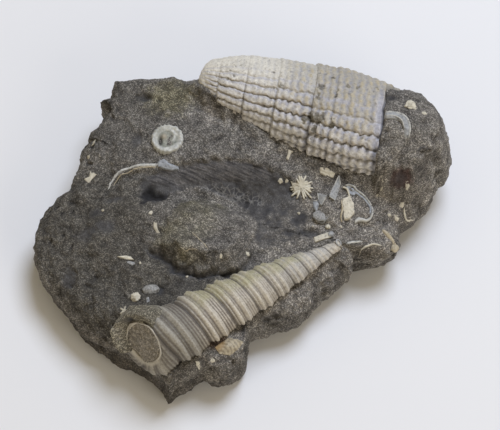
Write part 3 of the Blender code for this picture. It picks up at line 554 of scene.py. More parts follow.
# %% Outlines of the places
MOULD = [
    (-20.8, 7.6), (-19.6, 9.0), (-17.6, 10.6), (-15.2, 10.9), (-12.4, 11.6), (-8.6, 12.0), (-2.8, 12.0),
    (2.7, 11.5), (6.3, 10.3), (9.3, 8.7), (10.5, 6.1), (11.3, 3.1), (13.1, 1.1), (13.0, -1.7),
    (10.4, -4.6), (6.4, -6.0), (3.6, -7.0), (2.0, -5.0), (2.6, -1.6), (0.8, 2.4), (-2.4, 5.2),
    (-5.8, 6.2), (-8.8, 7.3), (-11.6, 6.8), (-14.4, 5.4), (-15.4, 3.6), (-17.4, 2.4), (-19.5, 2.4),
    (-21.0, 3.6), (-21.2, 5.6),
]
BRUSHED = [
    (-20.2, 7.8), (-19.2, 8.8), (-17.2, 10.3), (-15.0, 10.7), (-12.0, 11.2), (-8.6, 11.8), (-2.8, 11.8),
    (2.7, 11.4), (5.9, 10.3), (7.1, 8.9), (3.7, 8.3), (-0.8, 8.1), (-4.4, 7.9), (-7.8, 8.1), (-10.4, 8.0),
    (-13.0, 7.2), (-16.4, 6.9),
]
CRACKLED = [
    (-9.6, 7.6), (-5.8, 8.1), (-2.4, 7.6), (1.2, 6.7), (4.3, 5.8), (3.3, 3.9), (-0.8, 4.9), (-3.8, 5.6),
    (-7.6, 6.4),
]
HOLLOW = [
    (-20.6, 6.5), (-18.9, 6.9), (-17.0, 5.7), (-15.1, 5.1), (-15.5, 3.7), (-17.6, 3.3), (-18.9, 2.6),
    (-20.1, 1.7), (-21.1, 2.3), (-20.6, 3.7), (-20.9, 5.5),
]
HUMP = [
    (-18.5, -6.8), (-16.6, -8.3), (-13.9, -9.8), (-13.3, -11.9), (-8.4, -12.9), (-0.7, -11.7),
    (2.0, -9.0), (2.6, -6.0), (1.2, -2.6), (-1.1, 1.3), (-4.4, 4.5), (-8.8, 5.5), (-12.2, 4.1),
    (-14.6, 0.4), (-16.6, -2.9), (-18.1, -4.8),
]
PITS = [
    ((31.0, 6.1), 2.3, 1.0, 0.9), ((-21.4, 17.3), 1.3, 1.6, 0.7), ((-20.0, 27.6), 1.6, 1.0, 0.6),
    ((2.9, 19.0), 1.0, 0.7, 0.4), ((29.3, 20.6), 1.1, 0.9, 0.9), ((29.7, 24.3), 0.6, 0.5, 0.5),
    ((-16.4, -16.2), 1.2, 1.4, 0.9), ((-31.1, -3.4), 2.6, 1.6, 0.5), ((-27.6, -2.1), 2.4, 1.8, 0.5),
    ((-29.3, 1.0), 1.8, 1.3, 0.4), ((5.6, -19.8), 3.0, 0.8, 1.3), ((16.9, -12.4), 1.2, 1.0, 0.8),
    ((-25.6, 3.8), 2.4, 1.0, 0.5), ((13.2, -2.6), 2.2, 1.3, 0.7), ((12.4, 9.6), 0.9, 0.6, 0.3),
    ((-34.6, -12.0), 1.4, 2.2, 0.6),
]
NETTED_BANK = [
    (-9.6, 28.6, 3.0), (-8.0, 27.4, 3.5), (-6.4, 25.9, 3.3), (-4.6, 24.0, 3.3), (-2.6, 22.6, 2.9),
    (-0.8, 21.5, 2.0), (1.4, 19.1, 1.6), (5.3, 16.4, 0.8), (9.5, 14.3, 1.2), (11.7, 13.6, 1.3),
    (13.3, 12.0, 1.9), (15.3, 11.2, 1.6), (17.7, 10.1, 1.9), (20.1, 9.4, 2.1), (22.6, 8.4, 2.8),
    (24.8, 8.0, 3.2), (27.0, 7.6, 2.3),
]
CLAM_TRENCH = [(-27.4, 5.6, 0.4), (-25.7, 7.4, 1.0), (-22.6, 9.3, 1.0), (-19.2, 9.9, 0.8), (-15.0, 9.4, 0.3)]
print("pits:", len(PITS), "points along the bank:", len(NETTED_BANK))

# %% [markdown]
# The ball of points starts as an icosphere, and its upper part is cut finer, because that is where the
# fossils and the light are. Pressing it flat is one rule for every point: out to the rim by its bearing,
# then up to the top or down the undercut side by a quarter round.

# %% Place the rock's points
FINER_ABOVE = 0.14


def rock_ball():
    bm = bmesh.new()
    bmesh.ops.create_icosphere(bm, subdivisions=7, radius=1.0)
    upper = [edge for edge in bm.edges if min(vert.co.z for vert in edge.verts) > FINER_ABOVE]
    bmesh.ops.subdivide_edges(bm, edges=upper, cuts=1, use_grid_fill=True)
    bmesh.ops.triangulate(bm, faces=bm.faces)
    mesh = bpy.data.meshes.new("rock")
    bm.to_mesh(mesh)
    bm.free()
    return mesh


def quarter_round(inward, reach):
    return np.sqrt(1.0 - (1.0 - np.minimum(inward / reach, 1.0)) ** 2)


def rock_skin(ball):
    ball = ball / np.linalg.norm(ball, axis=1)[:, None]
    bearing = np.arctan2(ball[:, 1], ball[:, 0])
    share = np.minimum(np.hypot(ball[:, 0], ball[:, 1]), 1.0)
    above = ball[:, 2] >= 0.0
    worn = ease(0.0, -0.3, ball[:, 2]) * ease(0.0, 0.3, np.sin(bearing)) * ~above
    rim = rim_at(bearing) + (worn_rim_at(bearing) - rim_at(bearing)) * worn
    reach = rim * share
    x, y = reach * np.cos(bearing), reach * np.sin(bearing)
    widest = by_bearing(WIDEST_HEIGHT, bearing)
    rise = quarter_round(rim - reach, by_bearing(TOP_ROUNDING, bearing))
    fall = quarter_round(rim - reach, by_bearing(UNDERCUT, bearing))
    z = np.where(above, widest + (rock_top(x, y) - widest) * rise, widest * (1.0 - fall))
    return np.stack((x, y, z), axis=1)


rock_mesh = rock_ball()
rock_points = rock_skin(read_points(rock_mesh))
move_points(rock_mesh, rock_points)
print("rock triangles:", len(rock_mesh.polygons))

# %% [markdown]
# The outlined places now lift or lower the skin. All their edges share one fine raggedness, so none looks
# drawn with a compass, and the right end of the mould breaks up more, where the rock has flaked. The mould
# keeps the faint brush-like ridges of the shell that once lay in it.

# %% How far inside each place
outward = read_points(rock_mesh, "normal")
px, py, pz = rock_points.T
on_top = ease(8.0, 12.0, pz) * (outward[:, 2] > 0.0)
ragged = 0.35 * ripple(rock_points, 1.3, 3, 17.0)
flaked = ease(0.0, 8.0, px) * ease(7.0, 3.0, py)
mould = within(MOULD, px, py) + ragged * (1.0 + 3.0 * flaked)
brushed = within(BRUSHED, px, py) + ragged
crackled = within(CRACKLED, px, py) + 2.0 * ragged
hollow = within(HOLLOW, px, py) + 1.2 * ragged
hump = within(HUMP, px, py) + ragged
hump_foot = ease(-5.0, -9.0, py) * ease(4.0, -2.0, px)
print("points in the mould:", int((mould > 0.0).sum()))

# %% Lift and lower the places
MOULD_DEEP, HOLLOW_DEEP, RIDGE_HIGH, RIDGE_APART = 0.75, 0.8, 0.05, 0.75
lift = -MOULD_DEEP * ease(-0.25, 0.35, mould) * ease(2.0, 6.0, py + 0.35 * np.maximum(-px - 8.0, 0.0))
lift -= HOLLOW_DEEP * ease(-0.3, 1.0, hollow)
pitted = np.zeros(len(px))
for middle, half_x, half_y, deep in PITS:
    hole = ease(1.3, 0.3, oval(px, py, middle, half_x, half_y) + 0.6 * ragged)
    lift -= deep * hole
    pitted = np.maximum(pitted, hole)
lift += (1.3 * ease(-0.2, 0.7, hump) - 1.1 * bell(hump, -0.6, 0.6)) * hump_foot
lift += 0.5 * ease(0.0, 3.0, hump) * (1.0 - hump_foot)
over_ridges = px * math.sin(0.35) + py * math.cos(0.35) + 0.25 * ragged
lift += RIDGE_HIGH * np.sin(over_ridges * TURN / RIDGE_APART) * ease(0.0, 0.8, brushed)
lift += bank(NETTED_BANK, 1.6, px, py)
lift -= 1.2 * bank(CLAM_TRENCH, 0.8, px, py)
rock_points = rock_points + np.array((0.0, 0.0, 1.0)) * (lift * on_top)[:, None]
move_points(rock_mesh, rock_points)
print("deepest and highest change:", round(float(lift.min()), 2), round(float(lift.max()), 2))

# %% [markdown]
# Noise of three sizes then pushes every point along its normal: lumps of some 7 mm, rubble of 2.4 mm and grit
# of 1 mm. Sides are rougher than the top, and the mould stays smooth. The rubble and grit are also kept as a
# number, so that the finish can paint shade on what lies low and painted light on what stands up.

# %% Roughen the rock
outward = read_points(rock_mesh, "normal")
smoother = np.clip(1.0 - (0.75 * ease(0.0, 1.0, brushed) + 0.3 * ease(0.0, 1.0, mould)) * on_top, 0.2, 1.0)
side_on = 1.0 - np.abs(outward[:, 2])
lumps = 0.45 * ripple(rock_points, 7.0, 3, 1.0)
rubble = 0.34 * ripple(rock_points, 2.4, 3, 2.0) * (1.0 + 0.6 * side_on)
grit = 0.20 * ripple(rock_points, 1.0, 3, 3.0)
pocks = ease(0.30, 0.55, ripple(rock_points, 1.5, 1, 4.0)) * ease(0.0, 0.35, ripple(rock_points, 6.0, 1, 5.0))
relief = (rubble + grit - 0.45 * pocks) * smoother
push = (lumps * smoother + relief) * ease(0.0, 1.5, pz)
rock_points = rock_points + outward * push[:, None]
move_points(rock_mesh, rock_points)
rock_mesh.shade_smooth()
rock_mesh.materials.append(dark_rock)
rock = bpy.data.objects.new("rock", rock_mesh)
bpy.context.scene.collection.objects.link(rock)
print("roughness of the rock:", round(float(push.std()), 2))

# %% [markdown]
# Stains and painted shade are kept the same way, as numbers from 0 to 1 for the finish to read: dark in the
# mould, with painted shade in the hollow, the pits, behind the turret shell and along the hump's undercut
# foot; brown on the near left, partly weathering and partly painted shade; olive on the hump; pale patches,
# and paler towards the right; rust in one pit; and painted shade low on the foot at the near left. A `patch`
# is an oval with a ragged edge.

# %% Stains and shades of the rock
def patch(middle, half_x, half_y, turn=0.0, outer=1.3, inner=0.6):
    return ease(outer, inner, oval(px, py, middle, half_x, half_y, turn) + ragged)


away_from_shells = 1.0 - ease(3.0, 14.0, py) * (1.0 - 0.6 * ease(33.0, 38.0, px))
# Paler towards the right, away from the shells, outside the mould.
paler_to_right = (0.40 + 0.35 * ripple(rock_points, 3.0, 2, 21.0)) * ease(-4.0, 14.0, px - 0.6 * py) * (mould < 0.0)
# Brown on the near left: partly weathering, partly painted shade that darkens the side away from the light.
near_left_brown_and_shade = ease(-12.0, -24.0, px) * ease(18.0, 4.0, py) + ease(-6.0, -14.0, py) * ease(2.0, -8.0, px)
near_left = bell(np.degrees(np.arctan2(py, px)), -134.0, 34.0)
# The mould's own dark colour, plus painted shade behind the turret shell, in the hollow, under the hump's
# undercut foot and in the pits.
mould_dark_and_shade = 0.75 * ease(-0.2, 0.8, mould) * (1.0 - flaked * (0.35 + 1.1 * ripple(rock_points, 1.6, 3, 24.0)))
mould_dark_and_shade += 0.25 * ease(-0.3, 0.6, crackled) + 0.3 * bell(np.hypot(px + 11.5, py + 14.8), 0.0, 3.2)
mould_dark_and_shade += 0.6 * ease(-0.2, 0.4, hollow) + 0.9 * bell(hump, -0.5, 0.7) * hump_foot + 0.7 * pitted
rusty = patch((31.2, 6.2), 2.1, 1.0, inner=0.7) + 0.5 * patch((-5.4, -25.3), 2.2, 2.2, inner=0.5)
mossy = ease(-0.2, 1.5, hump) * ease(-2.0, -8.0, px - 0.4 * py)
mossy *= 0.45 + 0.4 * ripple(rock_points, 3.0, 2, 19.0)
shades = {
    "dark": np.minimum(mould_dark_and_shade, 1.0),
    "brushed": ease(-0.1, 0.5, brushed),
    "crackled": ease(-0.3, 0.6, crackled),
    "olive": mossy + 0.8 * patch((-15.0, 27.0), 5.5, 5.0, outer=1.2, inner=0.5),
    "brown": np.minimum(near_left_brown_and_shade, 1.0) * (hump < 0.0) + 0.6 * bell(hump, 0.6, 2.0) * hump_foot
    + 0.45 * ease(-12.0, -20.0, px) * ease(12.0, 20.0, py),
    "pale": 0.8 * patch((-6.9, 22.2), 1.9, 3.0, 20.0, outer=1.2, inner=0.5)
    + 0.6 * patch((12.4, -16.6), 2.6, 1.2, 30.0) + paler_to_right * away_from_shells,
    "rust": np.minimum(rusty, 1.0),
}
for name, values in shades.items():
    paint(rock, name, np.clip(values * on_top, 0.0, 1.0))
paint(rock, "relief", np.clip(relief, -1.0, 1.0))
# Painted shade in the hollow and low on the near-left foot, under the side away from the light.
hollow_shade = 0.55 * ease(-0.2, 0.5, hollow) * on_top
paint(rock, "low_and_hollow_shade", ease(10.0, 5.0, pz + 2.0 * ragged) * near_left + hollow_shade)
seat(rock, "dark_sandstone", "matrix_block")

# %% [markdown]
# Everything small lies on the rock, so its level has to be known at any place. A ray shot straight down on
# the finished skin finds it, and beyond the edge the nearest point of the skin serves.

# %% Level of the rock
rock_faces = [face.vertices[:] for face in rock_mesh.polygons]
rock_tree = BVHTree.FromPolygons([Vector(point) for point in rock_points], rock_faces)
ABOVE_ALL, HALF_WAY_UP = 60.0, 12.0


def ground(x, y):
    """The rock's level under a place, in millimetres, or the level of its nearest edge."""
    hit = rock_tree.ray_cast(Vector((x, y, ABOVE_ALL)), Vector((0.0, 0.0, -1.0)))
    if hit[0] is None:
        hit = rock_tree.find_nearest(Vector((x, y, HALF_WAY_UP)))
    return hit[0].z


print("level in the middle:", round(ground(0.0, 0.0), 2))

# %% [markdown]
# ## The netted shell
# A snail adds shell round its opening, so everything on it follows a helix: the seam between whorls, the
# cords that wind with it and the ribs that cross them. The skin is a grid of columns round the axis and
# rows that follow the seam. The radius at each point adds the whorl's step, the seam, cords and ribs, and
# wear.

# %% Grid of a wound shell
NETTED_SEAM = 28.0


def wound_grid(tip, end, columns, phases, advance, radius, lean=0.0):
    """Points of a shell skin: columns in degrees round the axis, rows in whorls from the tip."""
    along = (end - tip) / np.linalg.norm(end - tip)
    up = np.array((0.0, 0.0, 1.0)) - along * along[2]
    up /= np.linalg.norm(up)
    side = np.cross(along, up)
    degrees, phase = np.meshgrid(columns, phases, indexing="ij")
    far = advance(phase + (degrees + 180.0) / 360.0)
    angle = np.radians(degrees)
    far = far + lean * ease(0.0, 14.0, far) * np.cos(angle - math.radians(NETTED_SEAM))
    out = up * np.cos(angle)[..., None] + side * np.sin(angle)[..., None]
    wide, marks = radius(far, degrees, phase)
    points = tip + along * far[..., None] + out * wide[..., None]
    return points.reshape(-1, 3), {name: value.ravel() for name, value in marks.items()}


def spaced(stops):
    """Columns or rows from (where, step) stops, each step kept until the next stop."""
    found = []
    for (low, step), (high, _) in zip(stops, stops[1:]):
        found += list(np.arange(low, high - 1e-9, step))
    return np.array(found + [stops[-1][0]])


print("rows of a test strip:", spaced([(0.0, 0.5), (1.0, 0.25), (2.0, 1.0)]))

# %% [markdown]
# The shell's numbers come in fives, one for each whorl from the tip. Angles go round the axis in degrees,
# with 0 on top and more towards the viewer. The worn top shows only its cords; `fresh` grows from 0 to 1
# down the side, where the ribs are still deep.

# %% Numbers of the netted shell
BODY_WHORL = 4
FIRST_GROOVE = np.array((26.5, 24.0, 20.5, 14.0, 26.0))
GROOVE_APART = np.array((12.5, 14.5, 14.0, 15.2, 17.1))
RIB_DEPTH = np.array((0.14, 0.26, 0.34, 0.44, 0.52))
CORDS = np.array((5.0, 5.0, 5.0, 5.0, 6.33))
CORD_START = np.array((0.0, 0.0, 0.0, 0.75, 0.0))
CORD_DEPTH = np.array((0.0, 0.04, 0.09, 0.20, 0.34))
WIDEST, WIDE_FROM = 10.1, 30.0
LIP_ANGLES = (-66.0, -54.0, 0.0, 28.0, 90.0)
LIP_REACH = (40.0, 37.0, 38.8, 39.9, 41.8)


def netted_advance(turned):
    whorl = turned - (NETTED_SEAM + 180.0) / 360.0
    early = 4.5 * np.exp(1.09 * (np.minimum(whorl, 1.0) - 1.0))
    return np.where(whorl < 1.0, early, np.minimum(22.6 * (1.2 ** whorl - 1.0), 45.0))


def netted_outline(far):
    blunt = 0.8 * bell(far, 0.8, 2.2)
    blunt = blunt * np.sqrt(np.minimum(far / 0.6, 1.0))
    bulge = np.maximum(1.0 - far / WIDE_FROM, 0.0) ** 1.45
    cone = WIDEST * np.sqrt(np.maximum(1.0 - bulge, 0.0)) + blunt
    return np.where(far < WIDE_FROM, cone, WIDEST * (1.0 - 0.0006 * (far - WIDE_FROM) ** 2))


print("radius 20 mm from the tip:", round(float(netted_outline(20.0)), 2))


# %% Where each point lies on its ribs and cords
def netted_pattern(far, degrees, phase):
    whorl = np.clip(np.floor(phase), 0, BODY_WHORL).astype(int)
    fraction = phase - whorl
    on_body = whorl == BODY_WHORL
    fresh = np.where(on_body, ease(4.0, 56.0, degrees), ease(-14.0, 46.0, degrees))
    fresh = np.maximum(fresh, 0.7 * ease(-72.0, -100.0, degrees)) * ease(1.0, 4.0, far)
    cord_wave = 0.09 * np.sin(degrees * 0.37 + 2.0 * phase) + 0.05 * np.sin(degrees * 0.83 + 5.0 * fraction)
    cord_turns = fraction * CORDS[whorl] - CORD_START[whorl] + cord_wave * (whorl > 2)
    cord_high = 0.5 - 0.5 * np.cos(TURN * cord_turns)
    wander = 0.05 * np.sin(far * 1.9 + degrees * 0.11) + 0.05 * np.sin(degrees * 0.23 - far * 0.8)
    wander = wander + 0.03 * np.sin(far * 5.3 + degrees * 0.31)
    rib = (degrees - FIRST_GROOVE[whorl]) / GROOVE_APART[whorl] + 0.3 * fraction + wander
    rib = rib + 0.15 * cord_high * fresh * ease(2.0, 3.0, phase)
    on_rib = rib - np.floor(rib)
    from_seam = np.abs(phase - np.round(phase)) * (phase < 4.5) + (phase >= 4.5)
    return whorl, fraction, fresh, cord_high, on_rib, from_seam


def past_lip_of(far, degrees):
    return far - np.interp(degrees, LIP_ANGLES, LIP_REACH)


def netted_marks(far, degrees, phase):
    """Numbers for the finish: which part of a rib, cord, groove or seam each point is."""
    whorl, _, fresh, cord_high, on_rib, from_seam = netted_pattern(far, degrees, phase)
    from_groove = np.minimum(on_rib, 1.0 - on_rib)
    thin = 0.055 + 0.010 * (whorl < 2) + 0.025 * ease(45.0, 80.0, degrees)
    thin = thin + 0.02 * np.sin(far * 3.1 + degrees * 0.2) * (whorl > 0)
    body = np.maximum(ease(3.85, 4.05, phase), 0.6 * ease(2.5, 3.6, phase))
    upper = (0.75 - 0.45 * ease(50.0, 80.0, degrees)) * ease(-20.0, 10.0, degrees)
    between = (1.0 - cord_high) ** 1.5 * (0.35 + 0.5 * ease(2.8, 4.0, phase)) * ease(-75.0, -20.0, degrees)
    between = between * ease(0.8, 2.4, phase) * np.maximum(ease(0.03, 0.14, from_seam), 0.2 + fresh)
    # Painted shade on the tip's near side, where it meets the rock.
    tip_shade_by_rock = 0.8 * ease(66.0, 88.0, degrees) * ease(15.0, 6.0, far)
    # Painted shade in each rib's groove, strongest under the cords.
    groove = bell(from_groove, 0.0, thin) * fresh * (0.55 + 0.45 * cord_high) * ease(0.03, 0.10, from_seam)
    groove = groove * (1.0 - 0.35 * (whorl == BODY_WHORL))
    seam = bell(from_seam, 0.0, 0.012 + 0.018 * fresh) * fresh * (0.40 + 0.3 * (phase > 3.5))
    lip = ease(-1.9, -0.7, past_lip_of(far, degrees)) * ease(-40.0, 0.0, degrees)
    return {
        "fresh": fresh,
        "body": body * (0.1 + 0.9 * ease(52.0, 10.0, degrees)),
        "upper_flank": np.maximum(upper * ease(0.04, 0.12, on_rib) * ease(0.46, 0.16, on_rib), 0.85 * lip),
        # Tan lower flank of each rib, partly painted shade where it faces down.
        "lower_flank": np.maximum(0.65 * fresh * ease(0.62, 0.86, on_rib), tip_shade_by_rock) * (1.0 - lip),
        "groove": np.maximum(groove * (1.0 - lip), seam * ease(0.3, 1.2, phase)),
        "between_cords": 0.95 * between,
        "ochre": 0.9 * cord_high * ease(2.6, 4.0, phase) * ease(60.0, 20.0, degrees) * (1.0 - lip),
    }


def netted_radius(far, degrees, phase):
    """The cone, less a step at each seam, a groove at each rib and a dip between cords."""
    whorl, fraction, fresh, cord_high, on_rib, from_seam = netted_pattern(far, degrees, phase)
    settled = ease(0.0, 1.0, phase)
    shoulder = 0.3 + 0.7 * np.maximum(fresh, ease(2.0, 4.0, phase))
    shoulder = 0.06 * fraction * settled * (phase < 4.5) * shoulder
    wide = netted_outline(far) * (1.0 + 0.03 * settled - shoulder)
    rib_dip = (2.0 * np.abs(on_rib - 0.5)) ** 3
    wide = wide - RIB_DEPTH[whorl] * (0.12 + 0.88 * fresh) * rib_dip
    wide = wide - 1.1 * RIB_DEPTH[whorl] * fresh * bell(np.minimum(on_rib, 1.0 - on_rib), 0.0, 0.07)
    wide = wide - CORD_DEPTH[whorl] * (1.0 - cord_high) * (0.6 + 0.4 * fresh)
    wide = wide + 0.45 * bell(far, 6.5, 4.0)
    wide = wide - (0.03 + 0.37 * fresh) * bell(from_seam, 0.0, 0.025 + 0.02 * fresh) * ease(0.2, 1.5, phase)
    wide = wide - 1.5 * ease(0.0, 0.6, past_lip_of(far, degrees))
    last = np.interp(degrees, (-66.0, -52.0), (5.86, 5.56))
    wide = wide * (1.0 - 0.8 * ease(last, last + 0.2, phase))
    return wide, netted_marks(far, degrees, phase)


_, test_marks = netted_radius(np.array([20.0]), np.array([40.0]), np.array([2.5]))
print("numbers kept for the finish:", ", ".join(test_marks))

# %% [markdown]
# Sand still sticks in the shell's hollows: a big patch where two whorls meet, and several pits along the
# worn top. Each is an oval at a distance from the tip and an angle round the axis. Inside it the skin is
# pushed in and roughened, and the finish turns to sand.

# %% Build the netted shell's grid
SAND_PATCHES = [
    (16.7, 10.0, 0.7, 0.6), (15.4, 16.0, 0.3, 0.3), (24.6, -3.0, 0.7, 0.8), (24.7, 12.0, 0.4, 0.7),
    (26.3, -22.0, 0.5, 0.4), (29.7, -13.0, 0.5, 0.5), (31.7, -17.0, 0.3, 0.6), (25.6, 38.0, 1.2, 1.5),
    (24.4, 40.0, 0.8, 0.9), (26.6, 35.0, 0.8, 1.0), (23.4, 42.0, 0.7, 0.7), (29.2, 37.0, 0.6, 0.6),
    (26.0, 50.0, 0.5, 1.6), (35.2, -30.0, 0.3, 0.4), (28.0, 4.0, 0.3, 0.4),
]
TIP_LEAN = 1.35
columns = spaced([(-180.0, 5.0), (-140.0, 1.4), (-84.0, 0.8), (116.0, 8.0), (180.0, 8.0)])
rows = spaced([(-4.5, 0.25), (-1.0, 0.08), (0.0, 0.045), (1.0, 0.030), (2.0, 0.024), (3.0, 0.0185),
               (4.0, 0.0145), (5.56, 0.02), (6.1, 1.0)])
netted_points, netted_paint = wound_grid(NETTED_TIP, NETTED_END, columns, rows, netted_advance, netted_radius,
                                         TIP_LEAN)
netted = new_piece("netted_shell", netted_points, grid_faces(len(columns), len(rows)), netted_shell)
print("grid of the netted shell:", len(columns), "by", len(rows))

# %% Wear and sand of the netted shell
column_grid, row_grid = np.meshgrid(columns, rows, indexing="ij")
far_grid = netted_advance(row_grid + (column_grid + 180.0) / 360.0).ravel()
angle_grid = column_grid.ravel()
patchy = 0.75 * ripple(netted_points, 0.8, 3, 12.0)
sand_share = np.zeros(len(netted_points))
for far, angle, half_far, half_round in SAND_PATCHES:
    reach = np.hypot((far_grid - far) / half_far, np.radians(angle_grid - angle) * 10.0 / half_round)
    sand_share = np.maximum(sand_share, 0.9 * ease(1.3, 0.6, reach + 1.2 * patchy))
small_pits = ease(0.38, 0.60, ripple(netted_points, 0.8, 1, 7.0))
small_pits *= ease(0.0, 0.4, ripple(netted_points, 4.0, 1, 8.0))
sand_share = np.maximum(sand_share, 0.8 * small_pits)
wear = 0.10 * ripple(netted_points, 0.9, 3, 6.0) + 0.16 * ripple(netted_points, 5.0, 2, 13.0)
wear += (0.10 * ripple(netted_points, 0.4, 1, 14.0) - 0.20) * sand_share
move_points(netted.data, netted_points + read_points(netted.data, "normal") * wear[:, None])
for name, values in {**netted_paint, "packed_sand": sand_share}.items():
    paint(netted, name, np.clip(values, 0.0, 1.0))
seat(netted, "netted_shell", "netted_snail")

# %% [markdown]
# ## The turret shell
# A slender cone of about ten whorls. Each whorl has a keel a little past its middle, a second cord near
# the next seam, and fine threads between. Its wide end was broken off slantwise, and hardened sand fills
# it. Its finish is cream on the crests and brown in the hollows, with a greenish cast on top and a grey
# wide end.

# %% The turret shell's finish
def turret_finish():
    finish, tree, shader = new_finish("turret shell", 0.6)
    where = place(tree)
    colour = blotches(tree, where, 1.8, (0.575, 0.52, 0.43), (0.40, 0.360, 0.305))
    crest = mix(tree, reads(tree, "grey_end"), (0.63, 0.575, 0.475), (0.38, 0.355, 0.30))
    colour = stained(tree, colour, {
        "chalky": (0.41, 0.405, 0.39),
        "grey_end": (0.140, 0.129, 0.105),
        "hollow": (0.115, 0.088, 0.068),
        "crest": crest,
    })
    cast = spread(tree, cloud(tree, where, 1.4, 3.0, 0.6), 0.25, 0.55)
    colour = mix(tree, sums(tree, "MULTIPLY", reads(tree, "green"), cast), colour, (0.43, 0.395, 0.235))
    fleck = blotches(tree, where, 0.42, (0.40, 0.37, 0.34), WHITE, 3.0, 0.75, 0.28, 0.56)
    colour = mix(tree, 0.7, colour, fleck, "MULTIPLY")
    colour = stained(tree, colour, {"seam": (0.030, 0.022, 0.018), "rim": (0.50, 0.46, 0.38)})
    dress(tree, shader, colour, cloud(tree, where, 0.45, 3.0, 0.65), 0.10)
    return finish


turret_shell = turret_finish()
print("finish made:", turret_shell.name)

# %% [markdown]
# Each whorl is an eighth or so longer than the one before, so the steps of the cone grow like a power.
# Across a whorl, `fraction` runs from one seam to the next, and the keel, cord, threads and seam are
# bumps along it.

# %% The turret shell's radius
TURRET_TIP = np.array((19.1, -5.45, 14.2))
TURRET_END = np.array((-17.2, -26.8, 13.6))
TURRET_SEAM = -118.0
TURRET_GROWTH = 1.145
THREADS = 11.0


def turret_advance(turned):
    whorl = turned - (TURRET_SEAM + 180.0) / 360.0
    return np.maximum(16.46 * (TURRET_GROWTH ** whorl - 1.0), 0.15)


def turret_radius(far, degrees, phase):
    fraction = phase % 1.0
    from_seam = np.minimum(fraction, 1.0 - fraction)
    cone = 7.8 * (1.0 - np.exp(-far / 24.0))
    wide = (cone ** 3 + 1.1 ** 3) ** (1.0 / 3.0)
    keel = bell(fraction, 0.46, 0.075)
    ramp = ease(0.0, 0.46, fraction) * ease(1.0, 0.46, fraction)
    cord = bell(fraction, 0.77, 0.055)
    seam = bell(from_seam, 0.0, 0.05)
    thread = 0.5 + 0.5 * np.cos(TURN * THREADS * fraction)
    wide = wide * (0.905 + 0.050 * ramp + 0.085 * keel + 0.085 * cord - 0.06 * seam)
    wide = wide + (0.14 * thread - 0.07) * ease(3.0, 14.0, far) * (1.0 - 0.4 * keel)
    growth = 0.03 * np.sin(degrees * 1.05 + 9.0 * (fraction - 0.5) ** 2)
    growth = growth + 0.02 * np.sin(degrees * 2.3 + 6.0 * fraction)
    wide = wide + growth * ease(6.0, 14.0, far)
    low = (1.0 - np.clip(keel + cord, 0.0, 1.0)) * (1.0 - thread)
    on_top = ease(-18.0, 12.0, degrees + 6.0 * np.sin(far))
    return wide, {
        "hollow": low ** 1.2 * (0.45 + 0.5 * bell(far, 30.0, 6.0)) * ease(2.0, 10.0, far),
        "seam": 0.9 * bell(from_seam, 0.0, 0.030) + 0.5 * bell(fraction, 0.62, 0.02) * ease(8.0, 20.0, far),
        "crest": 0.8 * np.clip(keel + 0.9 * cord + 0.5 * thread ** 3, 0.0, 1.0),
        "chalky": 0.6 * ease(20.0, 10.0, far) * ease(1.0, 4.0, far),
        "grey_end": 0.85 * ease(31.5, 36.0, far),
        "green": 0.75 * on_top * ease(7.0, 10.0, far) * ease(34.0, 31.0, far),
    }


print("end of the sixth whorl, from the tip:", round(float(turret_advance(6.0)), 1))

# %% [markdown]
# The broken end needs a clean rim. Instead of cutting the skin, its last rows are drawn in: from
# ROUND_BEFORE the skin rounds over towards the rim, and what lies past FOLD_AFTER is folded back inside,
# out of sight.

# %% Draw the broken end in to its rim
MOUTH_MIDDLE = np.array((-19.3, -27.4, 15.0))
MOUTH_RADIUS = 4.3
ROUND_BEFORE, FOLD_AFTER = 2.4, 0.4
WALL, FOLD_DEEP, LAST_KEPT = 0.22, 0.9, 1.6


def plane_axes(facing):
    """The way that a flat thing faces, and two directions across it: one level, one rising."""
    facing = facing / np.linalg.norm(facing)
    across = np.cross((0.0, 0.0, 1.0), facing)
    across /= np.linalg.norm(across)
    return facing, across, np.cross(facing, across)


facing, across, upward = plane_axes(np.array((-0.667, -0.611, 0.425)))


def draw_in(points):
    """Round the last whorl in towards the rim of the broken mouth, then fold it inside."""
    offset = points - MOUTH_MIDDLE
    deep = offset @ facing
    aside = offset - deep[:, None] * facing
    reach = np.linalg.norm(aside, axis=1)
    turn = np.clip((deep + ROUND_BEFORE) / (ROUND_BEFORE + FOLD_AFTER), 0.0, 1.0) * math.pi / 2.0
    new_reach = reach + (MOUTH_RADIUS - reach) * (1.0 - np.cos(turn))
    new_deep = np.where(deep > -ROUND_BEFORE, ROUND_BEFORE * (np.sin(turn) - 1.0), deep)
    inside = deep > FOLD_AFTER
    new_reach = np.where(inside, MOUTH_RADIUS - WALL, new_reach)
    new_deep = np.where(inside, -np.minimum(deep - FOLD_AFTER, FOLD_DEEP), new_deep)
    moved = MOUTH_MIDDLE + new_deep[:, None] * facing + aside * (new_reach / np.maximum(reach, 0.01))[:, None]
    return np.where((deep > -ROUND_BEFORE)[:, None], moved, points), deep


print("the mouth faces", facing.round(2))

